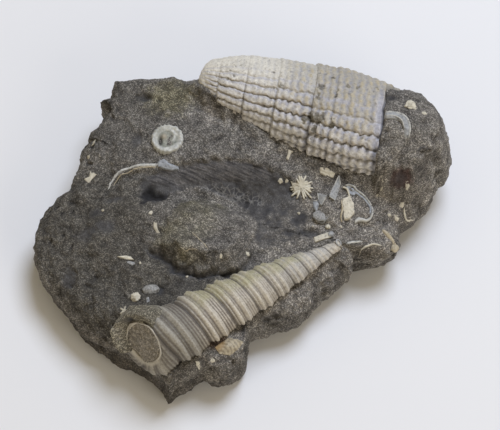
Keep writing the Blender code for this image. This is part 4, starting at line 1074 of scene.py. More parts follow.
# %% Build the turret shell
columns = spaced([(-180.0, 6.0), (-132.0, 0.9), (72.0, 6.0), (180.0, 6.0)])
rows = spaced([(-1.0, 0.1), (1.0, 0.05), (4.0, 0.036), (6.0, 0.028), (8.0, 0.022), (11.2, 1.0)])
turret_points, turret_paint = wound_grid(TURRET_TIP, TURRET_END, columns, rows, turret_advance, turret_radius)
turret_points, beyond = draw_in(turret_points)
faces = [face for face in grid_faces(len(columns), len(rows)) if beyond[face].max() < LAST_KEPT]
wear = 0.14 * ripple(turret_points, 3.5, 2, 15.0) + 0.055 * ripple(turret_points, 0.7, 2, 16.0)
turret = new_piece("turret_shell", turret_points, faces, turret_shell)
move_points(turret.data, turret_points + read_points(turret.data, "normal") * wear[:, None])
turret_paint["rim"] = ease(0.0, 0.3, beyond) * ease(1.2, 0.8, beyond)
for name, values in turret_paint.items():
    paint(turret, name, np.clip(values, 0.0, 1.0))
seat(turret, "turret_shell", "turret_snail")

# %% [markdown]
# ### Rings of broken shell
# Where a wound shell is broken across, the wall shows as a pale ring: a tiny one at the snapped tip and a
# larger one round the mouth. Both are a round tube bent to a ring in a plane, so one helper makes them.

# %% The ring at the turret's broken tip
APEX_STEPS, RING_SIDES = 28, 8


def ring_tube(middle, axes, turns, reach, thick, lift=0.0):
    """Points of a tube along a ring: reach and thick are arrays, one number for each turn."""
    facing, across, upward = axes
    bend = TURN * np.arange(RING_SIDES) / RING_SIDES
    out = np.outer(np.cos(turns), across) + np.outer(np.sin(turns), upward)
    wide = reach[:, None] + np.outer(thick, np.cos(bend))
    deep = lift + np.outer(thick, np.sin(bend))
    return (middle + out[:, None, :] * wide[..., None] + deep[..., None] * facing).reshape(-1, 3)


tip_way = (TURRET_TIP - TURRET_END) / np.linalg.norm(TURRET_TIP - TURRET_END)
apex_middle = TURRET_TIP + (-0.3, -0.1, 0.9)
apex_turns = TURN * np.arange(APEX_STEPS) / APEX_STEPS
apex_reach, apex_thick = np.full(APEX_STEPS, 0.62), np.full(APEX_STEPS, 0.17)
apex_axes = plane_axes(tip_way + (0.0, -0.5, 0.9))
apex_points = ring_tube(apex_middle, apex_axes, apex_turns, apex_reach, apex_thick)
apex_faces = [tuple(corner % len(apex_points) for corner in face)
              for face in band_faces(APEX_STEPS + 1, RING_SIDES, turned=True)]
apex_ring = new_piece("apex_ring", apex_points, apex_faces, turret_shell)
paint(apex_ring, "chalky", np.ones(len(apex_points)))
seat(apex_ring, "turret_shell")
print("apex ring at", apex_middle.round(1))

# %% [markdown]
# ### The filled mouth
# The broken end shows the tube of the last whorl: a pale ring of shell wall round a plug of sandstone.
# The plug is a domed disc, roughened like the rock. It ends at the rim on the near side and spreads into
# a collar of sand over the top and back, and the collar's edge is turned down so that it is closed from
# behind.

# %% Shape of the sand plug
def disc(middle, first, second, reaches, rings):
    """Points and faces of a round sheet: one point in the middle, then rings out to the reaches."""
    angles = TURN * np.arange(len(reaches)) / len(reaches)
    edge = (np.outer(np.cos(angles), first) + np.outer(np.sin(angles), second)) * reaches[:, None]
    points = np.vstack([[middle]] + [middle + edge * ring / rings for ring in range(1, rings + 1)])
    return points, fan_faces(len(reaches)) + band_faces(rings, len(reaches), 1)


PLUG_SPOKES, PLUG_RINGS = 150, 60
spoke_degrees = 360.0 * np.arange(PLUG_SPOKES) / PLUG_SPOKES
collar = ease(80.0, 104.0, spoke_degrees) * ease(252.0, 230.0, spoke_degrees)
collar_reach = MOUTH_RADIUS - 0.1 + (3.1 + 1.2 * ease(140.0, 190.0, spoke_degrees)) * collar
plug_points, plug_faces = disc(MOUTH_MIDDLE, across, upward, collar_reach, PLUG_RINGS)
offset = plug_points - MOUTH_MIDDLE
reach = np.linalg.norm(offset, axis=1)
plug_degrees = np.degrees(np.arctan2(offset @ upward, offset @ across)) % 360.0
left = bell(plug_degrees, 205.0, 45.0)
hole = bell(np.hypot((reach - 5.2) / 0.8, (plug_degrees - 158.0) / 10.0), 0.0, 1.0)
dome = 0.30 - 0.45 * ease(0.0, 4.3, reach) + (0.6 + 2.2 * left) * ease(4.2, 6.2, reach)
dome -= (6.0 - 1.0 * left) * ease(5.6 + 0.5 * left, 8.8, reach) ** 1.5 + 0.9 * hole
crumbly = 0.35 * ripple(plug_points, 2.2, 3, 9.0) + 0.16 * ripple(plug_points, 0.8, 3, 10.0)
dome += crumbly * ease(0.0, 1.0, reach)
plug_points += np.outer(dome, facing)
print("reach of the collar:", round(float(collar_reach.max()), 1))

# %% Close the collar and build the plug
COLLAR_DEEP, COLLAR_TUCK = 3.5, 0.2
edge = slice(-PLUG_SPOKES, None)
tucked = plug_points[edge] - COLLAR_DEEP * facing - COLLAR_TUCK * offset[edge]
plug_faces += band_faces(2, PLUG_SPOKES, len(plug_points) - PLUG_SPOKES)
plug_points = np.vstack((plug_points, tucked))
reach, hole = np.append(reach, reach[edge]), np.append(hole, hole[edge])
centre = ease(4.6, 3.8, reach)
plug = new_piece("mouth_sand", plug_points, plug_faces, dark_rock)
paint(plug, "pale", 0.3 + 0.7 * centre)
# Painted shade in the hole in the collar.
paint(plug, "dark", hole)
paint(plug, "calm", 0.45 * centre)
paint(plug, "olive", 0.5 - 0.35 * centre)
paint(plug, "relief", 0.1 + 0.3 * ripple(plug_points, 0.8, 3, 10.0))
seat(plug, "dark_sandstone", "mouth_fill")

# %% The ring of shell wall round the plug
RIM_STEPS = 90
rim_turns = np.radians(np.linspace(-40.0, 215.0, RIM_STEPS))
rim_thick = 0.10 + 0.05 * np.sin(4.0 * rim_turns + 1.0)
rim_reach = MOUTH_RADIUS + 0.15 + 0.14 * np.sin(5.0 * rim_turns) + 0.12 * np.sin(2.0 * rim_turns)
rim_line = ring_tube(MOUTH_MIDDLE, (facing, across, upward), rim_turns, rim_reach, rim_thick, lift=0.22)
rim_faces = band_faces(RIM_STEPS, RING_SIDES, turned=True)
rim_ring = new_piece("mouth_ring", shaken(rim_line, 0.08, 1.0, 40.0), rim_faces, turret_shell)
paint(rim_ring, "rim", np.full(len(rim_line), 0.6))
seat(rim_ring, "turret_shell")
print("points of the rim:", len(rim_line))

# %% [markdown]
# ### Finishes of the small bits
# Bits of valve are chalky cream, grey or tan, with dirt in their pores. One rule makes them all from two
# colours and the size of their blotches. The coiled shell has its own: chalk outside, a dull dish within and
# painted shade in its gap.

# %% Pale finishes for the small bits
def chip_finish(name, colour_a, colour_b, rough=0.55, size=0.8):
    finish, tree, shader = new_finish(name, rough)
    where = place(tree)
    colour = blotches(tree, where, size, colour_a, colour_b, 3.0, 0.65)
    dirt = spread(tree, cloud(tree, where, 0.5, 2.0, 0.7), 0.60, 0.72)
    colour = mix(tree, sums(tree, "MULTIPLY", dirt, 0.7), colour, (0.06, 0.052, 0.045))
    colour = stained(tree, colour, {"line": (0.16, 0.13, 0.09), "orange": (0.36, 0.22, 0.08)})
    dress(tree, shader, colour, cloud(tree, where, 0.4, 3.0, 0.6), 0.06)
    return finish


def coil_finish():
    finish, tree, shader = new_finish("coiled shell", 0.55)
    where = place(tree)
    chalk = blotches(tree, where, 0.7, (0.60, 0.585, 0.515), (0.35, 0.355, 0.34), 3.0, 0.65)
    dish = blotches(tree, where, 0.5, (0.14, 0.145, 0.12), (0.30, 0.295, 0.24), 3.0, 0.65)
    # gap: painted shade in the dip between the coils
    colour = stained(tree, chalk, {"dish": dish, "tip": (0.38, 0.325, 0.24), "gap": (0.022, 0.020, 0.018)})
    dress(tree, shader, colour, cloud(tree, where, 0.4, 3.0, 0.6), 0.08)
    return finish


cream_chip = chip_finish("cream chips", (0.66, 0.61, 0.49), (0.44, 0.40, 0.31))
grey_chip = chip_finish("grey chips", (0.40, 0.40, 0.385), (0.19, 0.19, 0.19), size=0.6)
tan_chip = chip_finish("tan chips", (0.52, 0.45, 0.32), (0.30, 0.25, 0.17))
pale_edge = chip_finish("pale valve edge", (0.58, 0.56, 0.50), (0.29, 0.285, 0.265), size=0.5)
blue_chip = chip_finish("blue-grey lining", (0.42, 0.44, 0.465), (0.20, 0.21, 0.23), size=0.5)
mottled_chip = chip_finish("mottled chips", (0.38, 0.37, 0.345), (0.13, 0.125, 0.115), size=0.4)
print("chip finishes made")

# %% [markdown]
# ## The coiled snail
# A small flat-coiled shell seen from its spire: one thick outer whorl with a wrinkled edge, a dip inside it
# and a raised tip. A disc with a height rule in polar form makes it, since nothing on it overhangs.

# %% Coiled snail
COIL_X, COIL_Y, COIL_RADIUS = -15.4, 16.6, 3.3
COIL_SPOKES, COIL_RINGS = 160, 44
coil_points, coil_faces = disc((COIL_X, COIL_Y, 0.0), (1.0, 0.0, 0.0), (0.0, 1.0, 0.0),
                               np.full(COIL_SPOKES, COIL_RADIUS), COIL_RINGS)
dx, dy = (coil_points[:, 0] - COIL_X) / COIL_RADIUS, (coil_points[:, 1] - COIL_Y) / COIL_RADIUS
angle, share = np.arctan2(dy, dx), np.hypot(dx, dy)
wobble = 0.05 * ripple(coil_points, 1.0, 2, 11.0)
thick = 0.17 + 0.06 * np.cos(angle + 0.9)
outer = bell(share + wobble, 0.82, thick + 0.02)
crimps = 0.5 + 0.5 * np.cos(19.0 * angle + 2.5 * np.sin(3.0 * angle))
crimps *= 0.6 + 0.8 * np.abs(np.sin(2.3 * angle))
tip = bell(np.hypot(dx + 0.22, dy - 0.16), 0.0, 0.20)
arm = bell(share, 0.30 + 0.42 * np.clip((angle + 0.6) / 2.6, 0.0, 1.0), 0.09)
arm *= ease(-0.9, -0.3, angle) * ease(2.2, 1.7, angle)
gap = bell(np.hypot((dx + 0.42) / 0.13, (dy + 0.16) / 0.36), 0.0, 0.9)
level = np.percentile([ground(x, y) for x, y, _ in coil_points[::40]], 80)
height = 0.05 + 0.60 * outer + 0.45 * tip + 0.25 * arm - 0.25 * gap - 1.5 * ease(0.94, 1.0, share)
coil_points[:, 2] = level + height + 0.16 * crimps * ease(0.62, 0.9, share) + 2.5 * wobble
coil_points[:, :2] += np.stack((dx, dy), axis=1) * (0.12 * crimps * share)[:, None]
coil = new_piece("coiled_shell", coil_points, coil_faces, coil_finish())
inner = ease(0.66, 0.52, share + wobble) + 0.35 * bell(angle, 2.3, 0.7) - 0.8 * arm
paint(coil, "dish", np.clip(inner, 0.0, 1.0))
paint(coil, "tip", 0.8 * tip)
# Painted shade in the gap.
paint(coil, "gap", np.clip(1.2 * gap, 0.0, 1.0))
seat(coil, "cream_bits", "coiled_snail")

# %% [markdown]
# ## Rods, arcs and flakes
# The litter on the rock is bits of tube, hinge and valve. A bent bit is swept along its middle line, with
# a flattened round section, and every point of the line takes its level from the rock. Each point is
# written as (x, y, radius), so the bit can swell and taper where the real one does.

# %% Bent bits
BENT_SIDES, BENT_STEPS = 10, 6


def smooth_path(line, steps):
    """Points along a smooth curve through the given ones, some steps to each stretch."""
    fine = np.linspace(0, len(line) - 1, (len(line) - 1) * steps + 1)
    lean = np.gradient(line, axis=0)
    lower = np.minimum(fine.astype(int), len(line) - 2)
    u = (fine - lower)[:, None]
    from_start = (2 * u**3 - 3 * u**2 + 1) * line[lower] + (u**3 - 2 * u**2 + u) * lean[lower]
    to_end = (-2 * u**3 + 3 * u**2) * line[lower + 1] + (u**3 - u**2) * lean[lower + 1]
    return fine, from_start + to_end


def swept(name, finish, line, lift=0.0, flat=1.0, rough=0.05):
    """A bent rod half sunk in the rock, smooth through its (x, y, radius) points, with rounded ends."""
    line = np.array(line)
    fine, path = smooth_path(line[:, :2], BENT_STEPS)
    wide = np.interp(fine, np.arange(len(line)), line[:, 2])
    wide *= np.minimum(1.0, np.sqrt(np.minimum(fine, fine[-1] - fine) / 0.35 + 0.04))
    heading = np.gradient(path, axis=0)
    heading /= np.linalg.norm(heading, axis=1)[:, None]
    angles = TURN * np.arange(BENT_SIDES) / BENT_SIDES
    aside, up = np.outer(wide, np.cos(angles)), np.outer(wide, np.sin(angles)) * flat
    levels = np.array([ground(x, y) + lift for x, y in path])[:, None]
    x = path[:, :1] - heading[:, 1:] * aside
    y = path[:, 1:] + heading[:, :1] * aside
    points = np.stack((x, y, levels + up), axis=-1).reshape(-1, 3)
    faces = [tuple(range(BENT_SIDES))[::-1], tuple(range(len(points) - BENT_SIDES, len(points)))]
    faces += band_faces(len(path), BENT_SIDES, turned=True)
    return new_piece(name, shaken(points, 0.5 * rough, 0.5, 20.0), faces, finish)


print("points of a smooth path through three:", len(smooth_path(np.eye(3)[:, :2], BENT_STEPS)[1]))

# %% [markdown]
# A flat bit is a plate of shell wall: its outline, ringed inwards to the middle, laid on the slope of the
# rock and lifted a little off it. Noise makes the edge ragged, and flat shading keeps its breaks crisp. A
# pebble is a ball squeezed along its axes. Fine rods come several to a mesh, because they are hardly
# thicker than a hair.

# %% Flat bits, pebbles and fine rods
def flake(name, finish, outline, lift=0.25, peak=0.15, tilt=(0.0, 0.0), seed=0.0):
    """A broken plate of shell wall, lying on the rock with ragged edges and a low peak."""
    corners = np.array(outline)
    thirds = np.array([[0.0], [0.33], [0.67]])
    edge = np.concatenate([first + (second - first) * thirds
                           for first, second in zip(corners, np.roll(corners, -1, axis=0))])
    middle = corners.mean(axis=0)
    levels = np.array([ground(*corner) for corner in corners])
    slope = np.linalg.lstsq(np.column_stack((corners - middle, np.ones(len(corners)))), levels, rcond=None)[0]
    rings = []
    for share, drop in ((0.0, 0.0), (0.5, 0.0), (0.92, 0.0), (1.0, 0.12), (1.0, 1.2)):
        offset = (edge - middle) * share
        z = slope[2] + offset @ (slope[:2] + np.array(tilt)) + lift + peak * (1.0 - share) - drop
        rings.append(np.column_stack((middle + offset, z)))
    points = shaken(np.concatenate(rings), 0.10, 0.5, seed + 50.0)
    return new_piece(name, points, band_faces(len(rings), len(edge)), finish, smooth=False)


def pebble(name, finish, spot, half_sizes, lift=0.1, turn=0.0, seed=0.0, lumpy=0.16):
    bm = bmesh.new()
    bmesh.ops.create_icosphere(bm, subdivisions=4, radius=1.0)
    points = np.array([vert.co[:] for vert in bm.verts])
    faces = [[vert.index for vert in face.verts] for face in bm.faces]
    bm.free()
    points *= (1.0 + lumpy * ripple(points, 0.7, 3, seed))[:, None] * np.array(half_sizes)
    angle = math.radians(turn)
    x = points[:, 0] * math.cos(angle) - points[:, 1] * math.sin(angle) + spot[0]
    y = points[:, 0] * math.sin(angle) + points[:, 1] * math.cos(angle) + spot[1]
    return new_piece(name, np.stack((x, y, points[:, 2] + ground(*spot) + lift), axis=1), faces, finish)


def rods(name, finish, lines, wide, lift=0.1, sides=6):
    """Several thin straight bits in one mesh, each from one place to another, with tapered ends."""
    points, faces = [], []
    for x0, y0, x1, y1 in lines:
        start, end = Vector((x0, y0, ground(x0, y0) + lift)), Vector((x1, y1, ground(x1, y1) + lift))
        side = (end - start).cross(Vector((0.0, 0.0, 1.0))).normalized()
        base = len(points)
        for share, size in ((0.0, 0.5), (0.08, 1.0), (0.85, 0.9), (1.0, 0.3)):
            for turn in (TURN * k / sides for k in range(sides)):
                points.append(start.lerp(end, share) + side * math.cos(turn) * wide * size
                              + Vector((0.0, 0.0, math.sin(turn) * wide * size)))
        last = base + 3 * sides
        faces += [tuple(range(base, base + sides)), tuple(reversed(range(last, last + sides)))]
        faces += band_faces(4, sides, base)
    return new_piece(name, points, faces, finish)


print("helpers for flakes, pebbles and rods ready")

# %% [markdown]
# ### Edges of valves
# At the left lies the long curved edge of a clam valve, widening to a wedge of its blue-grey lining.
# Among the litter at the right a smaller valve stands on edge: a pale crescent with its wall inside. The
# tusk is a curved tube with paler lines along its sides, and two thin bits lie by the turret's tip.

# %% Lay the edges of valves
seat(swept("clam_arc", pale_edge, [
    (-27.3, 6.6, 0.14), (-26.7, 8.0, 0.2), (-25.5, 9.5, 0.24), (-24.1, 10.3, 0.22), (-21.9, 10.9, 0.26),
    (-19.2, 11.2, 0.30), (-17.0, 11.4, 0.34),
], flat=0.7, rough=0.3), "netted_shell", "clam_edge_arc")
seat(swept("clam_line", tan_chip, [
    (-26.4, 7.3, 0.07), (-25.2, 8.9, 0.10), (-23.6, 9.8, 0.12), (-21.2, 10.5, 0.12), (-18.8, 10.8, 0.14),
    (-16.8, 10.9, 0.12),
], lift=-0.03, rough=0.2), "netted_shell")
seat(flake("clam_wedge", blue_chip, [
    (-17.3, 11.8), (-16.0, 12.2), (-15.2, 11.5), (-13.2, 10.9), (-13.0, 10.3), (-15.0, 10.3),
    (-17.2, 10.9),
], lift=0.4, peak=0.3), "grey_bits")
seat(swept("crescent", pale_edge, [
    (20.2, 6.9, 0.16), (21.4, 6.8, 0.2), (22.8, 5.7, 0.18), (24.6, 4.2, 0.17), (25.7, 2.4, 0.2),
    (25.5, 0.7, 0.24), (24.5, -0.1, 0.3), (23.0, 0.1, 0.5), (22.1, -0.8, 0.22),
], lift=0.25, flat=1.3), "netted_shell", "crescent_edge")
seat(swept("crescent_wall", blue_chip, [
    (21.4, 6.3, 0.3), (22.7, 5.3, 0.3), (24.3, 4.0, 0.22), (25.3, 2.5, 0.2), (25.2, 1.0, 0.16),
], lift=0.05), "grey_bits")
seat(flake("crescent_lining", blue_chip, [
    (20.5, 6.8), (21.6, 6.7), (22.8, 5.6), (22.0, 4.8), (21.0, 5.4),
], lift=0.2, peak=-0.1), "grey_bits")
seat(flake("cream_flake", cream_chip, [
    (19.7, 3.9), (21.2, 4.6), (22.0, 3.1), (22.1, 1.2), (21.1, 0.0), (20.0, -0.1), (19.8, 1.8),
], lift=0.45, peak=0.2, tilt=(0.15, 0.0), seed=4.0), "cream_bits", "cream_shard")
seat(swept("cream_edge", cream_chip, [
    (19.7, 6.5, 0.18), (20.6, 6.2, 0.24), (21.0, 5.2, 0.2), (21.1, 4.2, 0.16),
], lift=0.3), "cream_bits")
seat(swept("cream_side", tan_chip, [
    (19.5, 3.8, 0.16), (19.7, 2.0, 0.2), (19.4, 0.4, 0.2), (19.6, -0.6, 0.12),
], lift=0.2), "tan_bits")
seat(swept("bent_tusk", grey_chip, [
    (27.7, 15.7, 0.75), (29.2, 15.8, 0.8), (30.6, 15.5, 0.8), (31.7, 14.5, 0.75), (32.1, 12.9, 0.65),
    (32.0, 11.3, 0.45),
], lift=0.05, flat=0.7), "grey_bits", "tusk_tube")
seat(swept("tusk_edge", pale_edge, [
    (27.7, 16.3, 0.16), (29.3, 16.5, 0.2), (31.0, 16.1, 0.2), (32.3, 14.9, 0.2), (32.8, 13.0, 0.18),
    (32.5, 11.2, 0.12),
], lift=0.2), "cream_bits")
seat(swept("tusk_line", pale_edge, [
    (27.9, 15.5, 0.12), (29.3, 15.6, 0.14), (30.4, 15.2, 0.14), (31.3, 14.2, 0.12), (31.7, 12.8, 0.1),
], lift=0.6), "cream_bits")
seat(swept("needle_rod", pale_edge, [
    (20.4, -5.0, 0.24), (21.8, -4.5, 0.28), (23.7, -4.4, 0.2),
]), "netted_shell", "thin_rod")
seat(swept("needle_arc", cream_chip, [
    (22.9, -5.9, 0.12), (24.3, -5.3, 0.2), (25.8, -4.9, 0.2), (27.6, -4.9, 0.12),
], lift=0.1), "netted_shell", "thin_arc")

# %% [markdown]
# ### Chips beside the netted shell
# Below the netted shell's open end lies a small heap: two chips along the lip, a crushed cream valve whose
# splinters point every way like a star, and broken plates of grey valve with paler edges.

# %% Lay the tuft and the chips by the lip
TUFT_X, TUFT_Y, TUFT_SPLINTERS = 11.5, 6.6, 22
seat(flake("chip_by_lip", cream_chip, [
    (15.3, 9.9), (16.7, 9.8), (18.3, 8.9), (17.9, 8.2), (16.4, 8.5), (15.3, 9.1),
], seed=7.0), "cream_bits", "chip_by_netted_shell")
seat(flake("twig_by_shell", cream_chip, [
    (9.0, 13.9), (9.9, 13.6), (9.3, 12.9), (9.1, 11.9), (8.5, 12.2), (8.8, 13.0),
], seed=8.0), "cream_bits", "twig_by_netted_shell")
seat(flake("tuft", cream_chip, [
    (9.6, 7.7), (10.3, 8.0), (10.7, 8.7), (11.2, 8.2), (11.8, 8.3), (12.3, 7.6), (12.9, 7.5), (12.7, 6.7),
    (13.5, 5.8), (12.6, 5.4), (12.3, 4.8), (11.6, 5.0), (10.9, 5.4), (10.2, 5.6), (10.0, 6.4), (9.6, 7.0),
], lift=0.25, peak=0.35, seed=9.0), "cream_bits", "cream_tuft")
splinters = []
for k in range(TUFT_SPLINTERS):
    heading = math.radians(-78.0 + 15.5 * k + 6.0 * math.sin(5.1 * k))
    long = 2.1 + 0.5 * math.sin(3.7 * k) + (0.8 if k < 4 else 0.0)
    splinters.append((TUFT_X + 0.7 * math.cos(heading), TUFT_Y + 0.7 * math.sin(heading),
                      TUFT_X + long * math.cos(heading), TUFT_Y + 0.9 * long * math.sin(heading)))
seat(rods("tuft_fibres", cream_chip, splinters, 0.22, lift=0.3), "cream_bits")
print("splinters of the tuft:", len(splinters))

# %% Lay the broken grey valve
seat(flake("splinter", grey_chip, [
    (19.1, 8.6), (19.4, 6.7), (18.9, 5.2), (18.3, 3.6), (17.0, 4.4), (17.9, 6.3),
], lift=0.45, tilt=(-0.25, 0.05), seed=1.0), "grey_bits", "splinter_shard")
seat(rods("splinter_edge", pale_edge, [
    (19.1, 8.6, 17.1, 4.5), (17.1, 4.4, 18.3, 3.5), (19.1, 8.5, 19.4, 6.6),
], 0.12, lift=0.5), "cream_bits")
seat(flake("grey_flake", grey_chip, [
    (14.8, 5.2), (15.4, 5.0), (16.6, 4.5), (15.5, 2.7), (14.9, 3.6),
], lift=0.4, tilt=(0.2, 0.1), seed=2.0), "grey_bits", "grey_shard")
seat(flake("grey_flake_low", blue_chip, [
    (13.8, 3.8), (14.9, 3.7), (15.0, 2.9), (14.6, 1.7), (13.9, 2.5),
], lift=0.35, seed=3.0), "grey_bits")
seat(rods("grey_flake_edge", pale_edge, [
    (14.8, 5.2, 14.9, 3.7), (14.9, 3.7, 13.9, 3.8), (15.5, 2.7, 16.6, 4.5),
], 0.10, lift=0.45), "cream_bits")
seat(pebble("mottled_flake", mottled_chip, (15.5, 0.9), (1.6, 1.3, 0.4), lift=0.05, seed=3.0),
     "grey_bits", "mottled_shard")
seat(rods("mottled_rim", grey_chip, [
    (14.2, 1.4, 14.7, -0.1), (14.7, -0.1, 15.8, -0.6), (15.8, -0.6, 16.8, 0.2),
], 0.16, lift=0.3), "grey_bits")
seat(pebble("amber_bead", cream_chip, (16.8, -1.3), (0.55, 0.5, 0.5), seed=1.0),
     "cream_bits", "yellow_bead")
seat(flake("stub_rod", cream_chip, [
    (13.9, -3.7), (15.6, -3.1), (17.0, -2.5), (17.6, -2.9), (17.4, -3.9), (15.8, -4.4), (14.2, -4.9),
], lift=0.4, peak=0.2, seed=10.0), "cream_bits", "rod_fragment")
seat(pebble("stub_end", grey_chip, (17.4, -3.3), (0.6, 0.6, 0.45), lift=0.3), "grey_bits")

# %% [markdown]
# ### The cockle
# Under the turret shell a piece of ribbed valve shows, cut off by the rock all round. It is a low dome
# over its outline, closed by a skirt that reaches into the rock. Growth lines are arcs about a point just
# outside its near left corner, and the finish shows them, with an orange stain at one end.

# %% The cockle
COCKLE = [
    (-5.6, -27.2), (-4.6, -26.2), (-2.7, -25.1), (-1.2, -25.4), (0.0, -25.8), (-0.6, -26.8), (-1.2, -27.6),
    (-2.7, -28.6), (-4.6, -28.4),
]
COCKLE_RINGS, COCKLE_LIFT, COCKLE_CROWN, COCKLE_THICK, EDGE_STEP = 26, 0.25, 0.5, 1.2, 0.22
LINE_CENTRE_X, LINE_CENTRE_Y, LINE_APART = -4.4, -28.6, 0.72


def close_points(outline, step):
    """Points along a closed outline, about a step apart."""
    corners = np.array(outline)
    found = []
    for first, second in zip(corners, np.roll(corners, -1, axis=0)):
        count = max(2, int(np.linalg.norm(second - first) / step))
        found += [first + (second - first) * i / count for i in range(count)]
    return np.array(found)


edge = close_points(COCKLE, EDGE_STEP)
middle = np.array(COCKLE).mean(axis=0)
shares = np.arange(1, COCKLE_RINGS + 1) / COCKLE_RINGS
plan = np.vstack([[middle]] + [middle + (edge - middle) * share for share in shares] + [edge])
levels = np.array([ground(x, y) for x, y in plan]) + COCKLE_LIFT
ring_share = np.concatenate(([0.0], np.repeat(shares, len(edge))))
levels[:len(ring_share)] += COCKLE_CROWN * (1.0 - ring_share ** 2) - 0.12 * ring_share ** 8
levels[len(ring_share):] -= COCKLE_THICK
cockle_faces = fan_faces(len(edge)) + band_faces(COCKLE_RINGS + 1, len(edge), 1)
cockle_points = shaken(np.column_stack((plan, levels)), 0.08, 0.6, 35.0)
cockle = new_piece("cockle", cockle_points, cockle_faces, tan_chip)
growth = np.hypot(cockle_points[:, 0] - LINE_CENTRE_X, cockle_points[:, 1] - LINE_CENTRE_Y)
paint(cockle, "line", 0.6 * (0.5 + 0.5 * np.cos(TURN * growth / LINE_APART)) ** 2)
paint(cockle, "orange", 0.7 * ease(2.2, 0.8, np.hypot(cockle_points[:, 0] + 5.2, cockle_points[:, 1] + 26.3)))

# %% [markdown]
# ### The rest of the litter
# Single chips and grains lie all over the block, most of them cream. The larger ones have solids of their
# own to stand for, the crumbs don't, so those are listed by place and size alone and made by a loop.

# %% Lay the other chips
seat(swept("brown_rod", tan_chip, [
    (27.7, -1.6, 0.38), (28.8, -2.6, 0.45), (29.8, -3.3, 0.4), (30.4, -4.2, 0.35),
]), "tan_bits", "tan_rod")
seat(pebble("tan_lump", tan_chip, (30.2, -4.5), (0.8, 0.9, 0.6), seed=6.0), "tan_bits")
seat(pebble("pale_spot", cream_chip, (33.0, 18.3), (1.05, 1.0, 0.6), seed=2.0, lumpy=0.3),
     "cream_bits", "cream_spot")
seat(flake("spot_chips", cream_chip, [
    (33.6, 17.9), (34.3, 17.7), (34.0, 17.2), (33.5, 17.4),
], lift=0.15), "cream_bits")
seat(cockle, "tan_bits", "cockle_piece")
seat(pebble("round_grain", cream_chip, (-21.0, -17.9), (0.85, 1.0, 0.7), lift=0.2, seed=3.0, lumpy=0.4),
     "cream_bits", "cream_pebble")
seat(pebble("grey_grain", mottled_chip, (-18.2, -16.2), (1.7, 1.1, 0.7), turn=8.0, lift=0.0, seed=4.0),
     "grey_bits", "grey_pebble")
seat(flake("grey_wedge", grey_chip, [
    (-19.0, -18.2), (-18.5, -18.0), (-18.3, -19.2), (-18.9, -19.6),
], lift=0.1), "grey_bits")
seat(flake("pair_chip", cream_chip, [
    (-24.9, -9.1), (-23.4, -8.8), (-22.2, -9.0), (-21.6, -9.6), (-23.2, -9.6),
], lift=0.15, seed=11.0), "cream_bits", "paired_chip")
seat(flake("pair_chip_low", grey_chip, [
    (-23.6, -10.0), (-22.2, -9.9), (-21.1, -10.4), (-22.0, -10.9),
], lift=0.1), "cream_bits")
seat(flake("edge_flake", cream_chip, [
    (-32.2, 9.5), (-31.2, 9.8), (-31.0, 11.2), (-30.3, 10.6), (-29.7, 10.2), (-30.3, 9.4), (-31.3, 8.4),
], lift=0.2, seed=6.0), "cream_bits", "left_flake")
seat(flake("middle_chip", cream_chip, [
    (-17.9, -2.0), (-17.2, -2.2), (-17.0, -3.6), (-16.6, -4.5), (-17.2, -4.4), (-17.8, -3.2),
], lift=0.15, seed=12.0), "cream_bits", "mid_flake")

# %% Strew the crumbs and threads
CRUMBS = [
    (-18.4, 0.0, 0.5), (0.8, -8.6, 0.5), (7.4, 8.2, 0.45), (8.6, 8.1, 0.35), (27.5, 5.8, 0.45),
    (32.6, 5.5, 0.4), (31.8, 3.8, 0.5), (26.7, 5.1, 0.25), (29.2, 1.7, 0.3), (30.7, 1.5, 0.45),
    (-31.4, 14.4, 0.3), (-28.1, 1.4, 0.25), (-30.9, 17.6, 0.9), (-4.4, -10.6, 0.35), (-11.1, -13.5, 0.35),
    (35.7, 16.8, 0.5), (-31.6, 14.6, 0.25), (19.4, -1.4, 0.3), (11.0, 1.6, 0.25), (13.8, -1.0, 0.2),
    (-8.8, -30.0, 0.55), (-6.0, -29.6, 0.4), (2.0, -16.0, 0.3), (-20.4, -10.4, 0.3),
]
STAR_X, STAR_Y, STAR_ARM = -23.3, -21.0, 0.95
for number, (x, y, size) in enumerate(CRUMBS):
    ring = [TURN * k / 5 + number for k in range(5)]
    outline = [(x + size * math.cos(turn) * (1.3 if k % 2 else 0.8), y + size * math.sin(turn))
               for k, turn in enumerate(ring)]
    seat(flake("crumb_%02d" % number, cream_chip, outline, lift=0.12, seed=number), "cream_bits")
star = [(STAR_X, STAR_Y, STAR_X + STAR_ARM * math.cos(1.26 * k), STAR_Y + STAR_ARM * math.sin(1.26 * k))
        for k in range(5)]
seat(rods("star_chip", cream_chip, star, 0.2, lift=0.15), "cream_bits")
seat(swept("hook", cream_chip, [
    (32.2, 3.4, 0.15), (32.4, 2.5, 0.24), (33.0, 2.1, 0.26), (34.2, 2.5, 0.14),
], lift=0.1), "cream_bits")
seat(swept("hair_arc", tan_chip, [
    (-10.2, -5.6, 0.07), (-8.9, -7.0, 0.09), (-7.8, -8.4, 0.09), (-6.8, -9.9, 0.06),
]), "tan_bits")
seat(swept("squiggle", tan_chip, [
    (-12.4, -9.0, 0.08), (-11.4, -9.7, 0.1), (-10.4, -9.4, 0.1), (-9.0, -9.7, 0.06),
]), "tan_bits")
print("crumbs:", len(CRUMBS))

# %% [markdown]
# ## Floor, light and camera
# The piece lies on a plain pale surface. A cool soft light, the window, stands high on the far side, so the
# near edges fall into shade. A weak warm light at the near left and a plain one at the near right lift that
# shade, as the walls of a room would. The camera looks down at 62 degrees with a long lens.

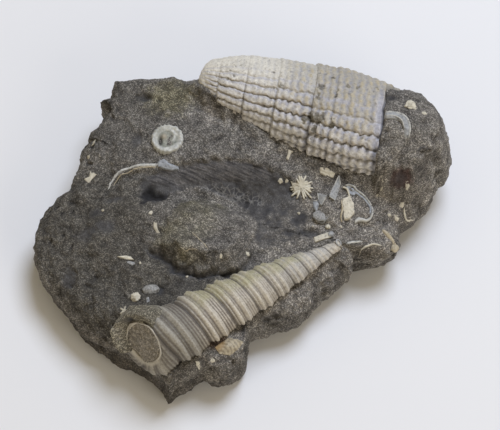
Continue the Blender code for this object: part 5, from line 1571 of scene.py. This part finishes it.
# %% Floor
FLOOR_HALF = 3000
floor_finish, _, floor_shader = new_finish("pale table", 0.9)
floor_shader.inputs["Base Color"].default_value = (0.77, 0.762, 0.758, 1.0)
corners = [(x * FLOOR_HALF, y * FLOOR_HALF, 0) for x, y in ((-1, -1), (1, -1), (1, 1), (-1, 1))]
floor = new_piece("floor", corners, [(0, 1, 2, 3)], floor_finish, smooth=False)
print("floor made, metres across:", 2 * FLOOR_HALF * MM)


# %% Lights
def aimed(thing, spot, aim):
    """Put a light or camera in the scene at a spot, looking at another."""
    made = bpy.data.objects.new(thing.name, thing)
    made.location = spot
    made.rotation_euler = (Vector(aim) - Vector(spot)).to_track_quat("-Z", "Y").to_euler()
    bpy.context.scene.collection.objects.link(made)
    return made


def soft_light(name, spot, size, power, colour):
    lamp = bpy.data.lights.new(name, "AREA")
    lamp.shape = "DISK"
    lamp.size = size
    lamp.energy = power
    lamp.color = colour
    aimed(lamp, spot, (0.0, 0.0, 0.01))


soft_light("window", (0.14, 0.20, 0.55), 0.30, 2.75, (0.84, 0.935, 1.14))
soft_light("warm wall", (-0.55, -0.35, 0.22), 0.4, 0.4, (1.0, 0.86, 0.66))
soft_light("front of the room", (0.42, -0.50, 0.34), 0.4, 1.3, (1.0, 0.95, 0.88))
world = bpy.data.worlds.new("pale room")
world.use_nodes = True
world.node_tree.nodes["Background"].inputs["Color"].default_value = (1.0, 0.885, 0.66, 1.0)
world.node_tree.nodes["Background"].inputs["Strength"].default_value = 0.35
bpy.context.scene.world = world
bpy.context.scene.view_settings.view_transform = "Standard"
print("lights:", ", ".join(light.name for light in bpy.data.lights))

# %% Camera
ELEVATION = math.radians(62.0)
DISTANCE = 0.48
AIM = Vector((1.25, 1.25, 14.0)) * MM
lens = bpy.data.cameras.new("camera")
lens.lens = 172.8
lens.sensor_width = 36.0
lens.clip_start = 0.05
camera = aimed(lens, AIM + Vector((0.0, -math.cos(ELEVATION), math.sin(ELEVATION))) * DISTANCE, AIM)
bpy.context.scene.camera = camera
print("camera at", [round(part, 3) for part in camera.location])
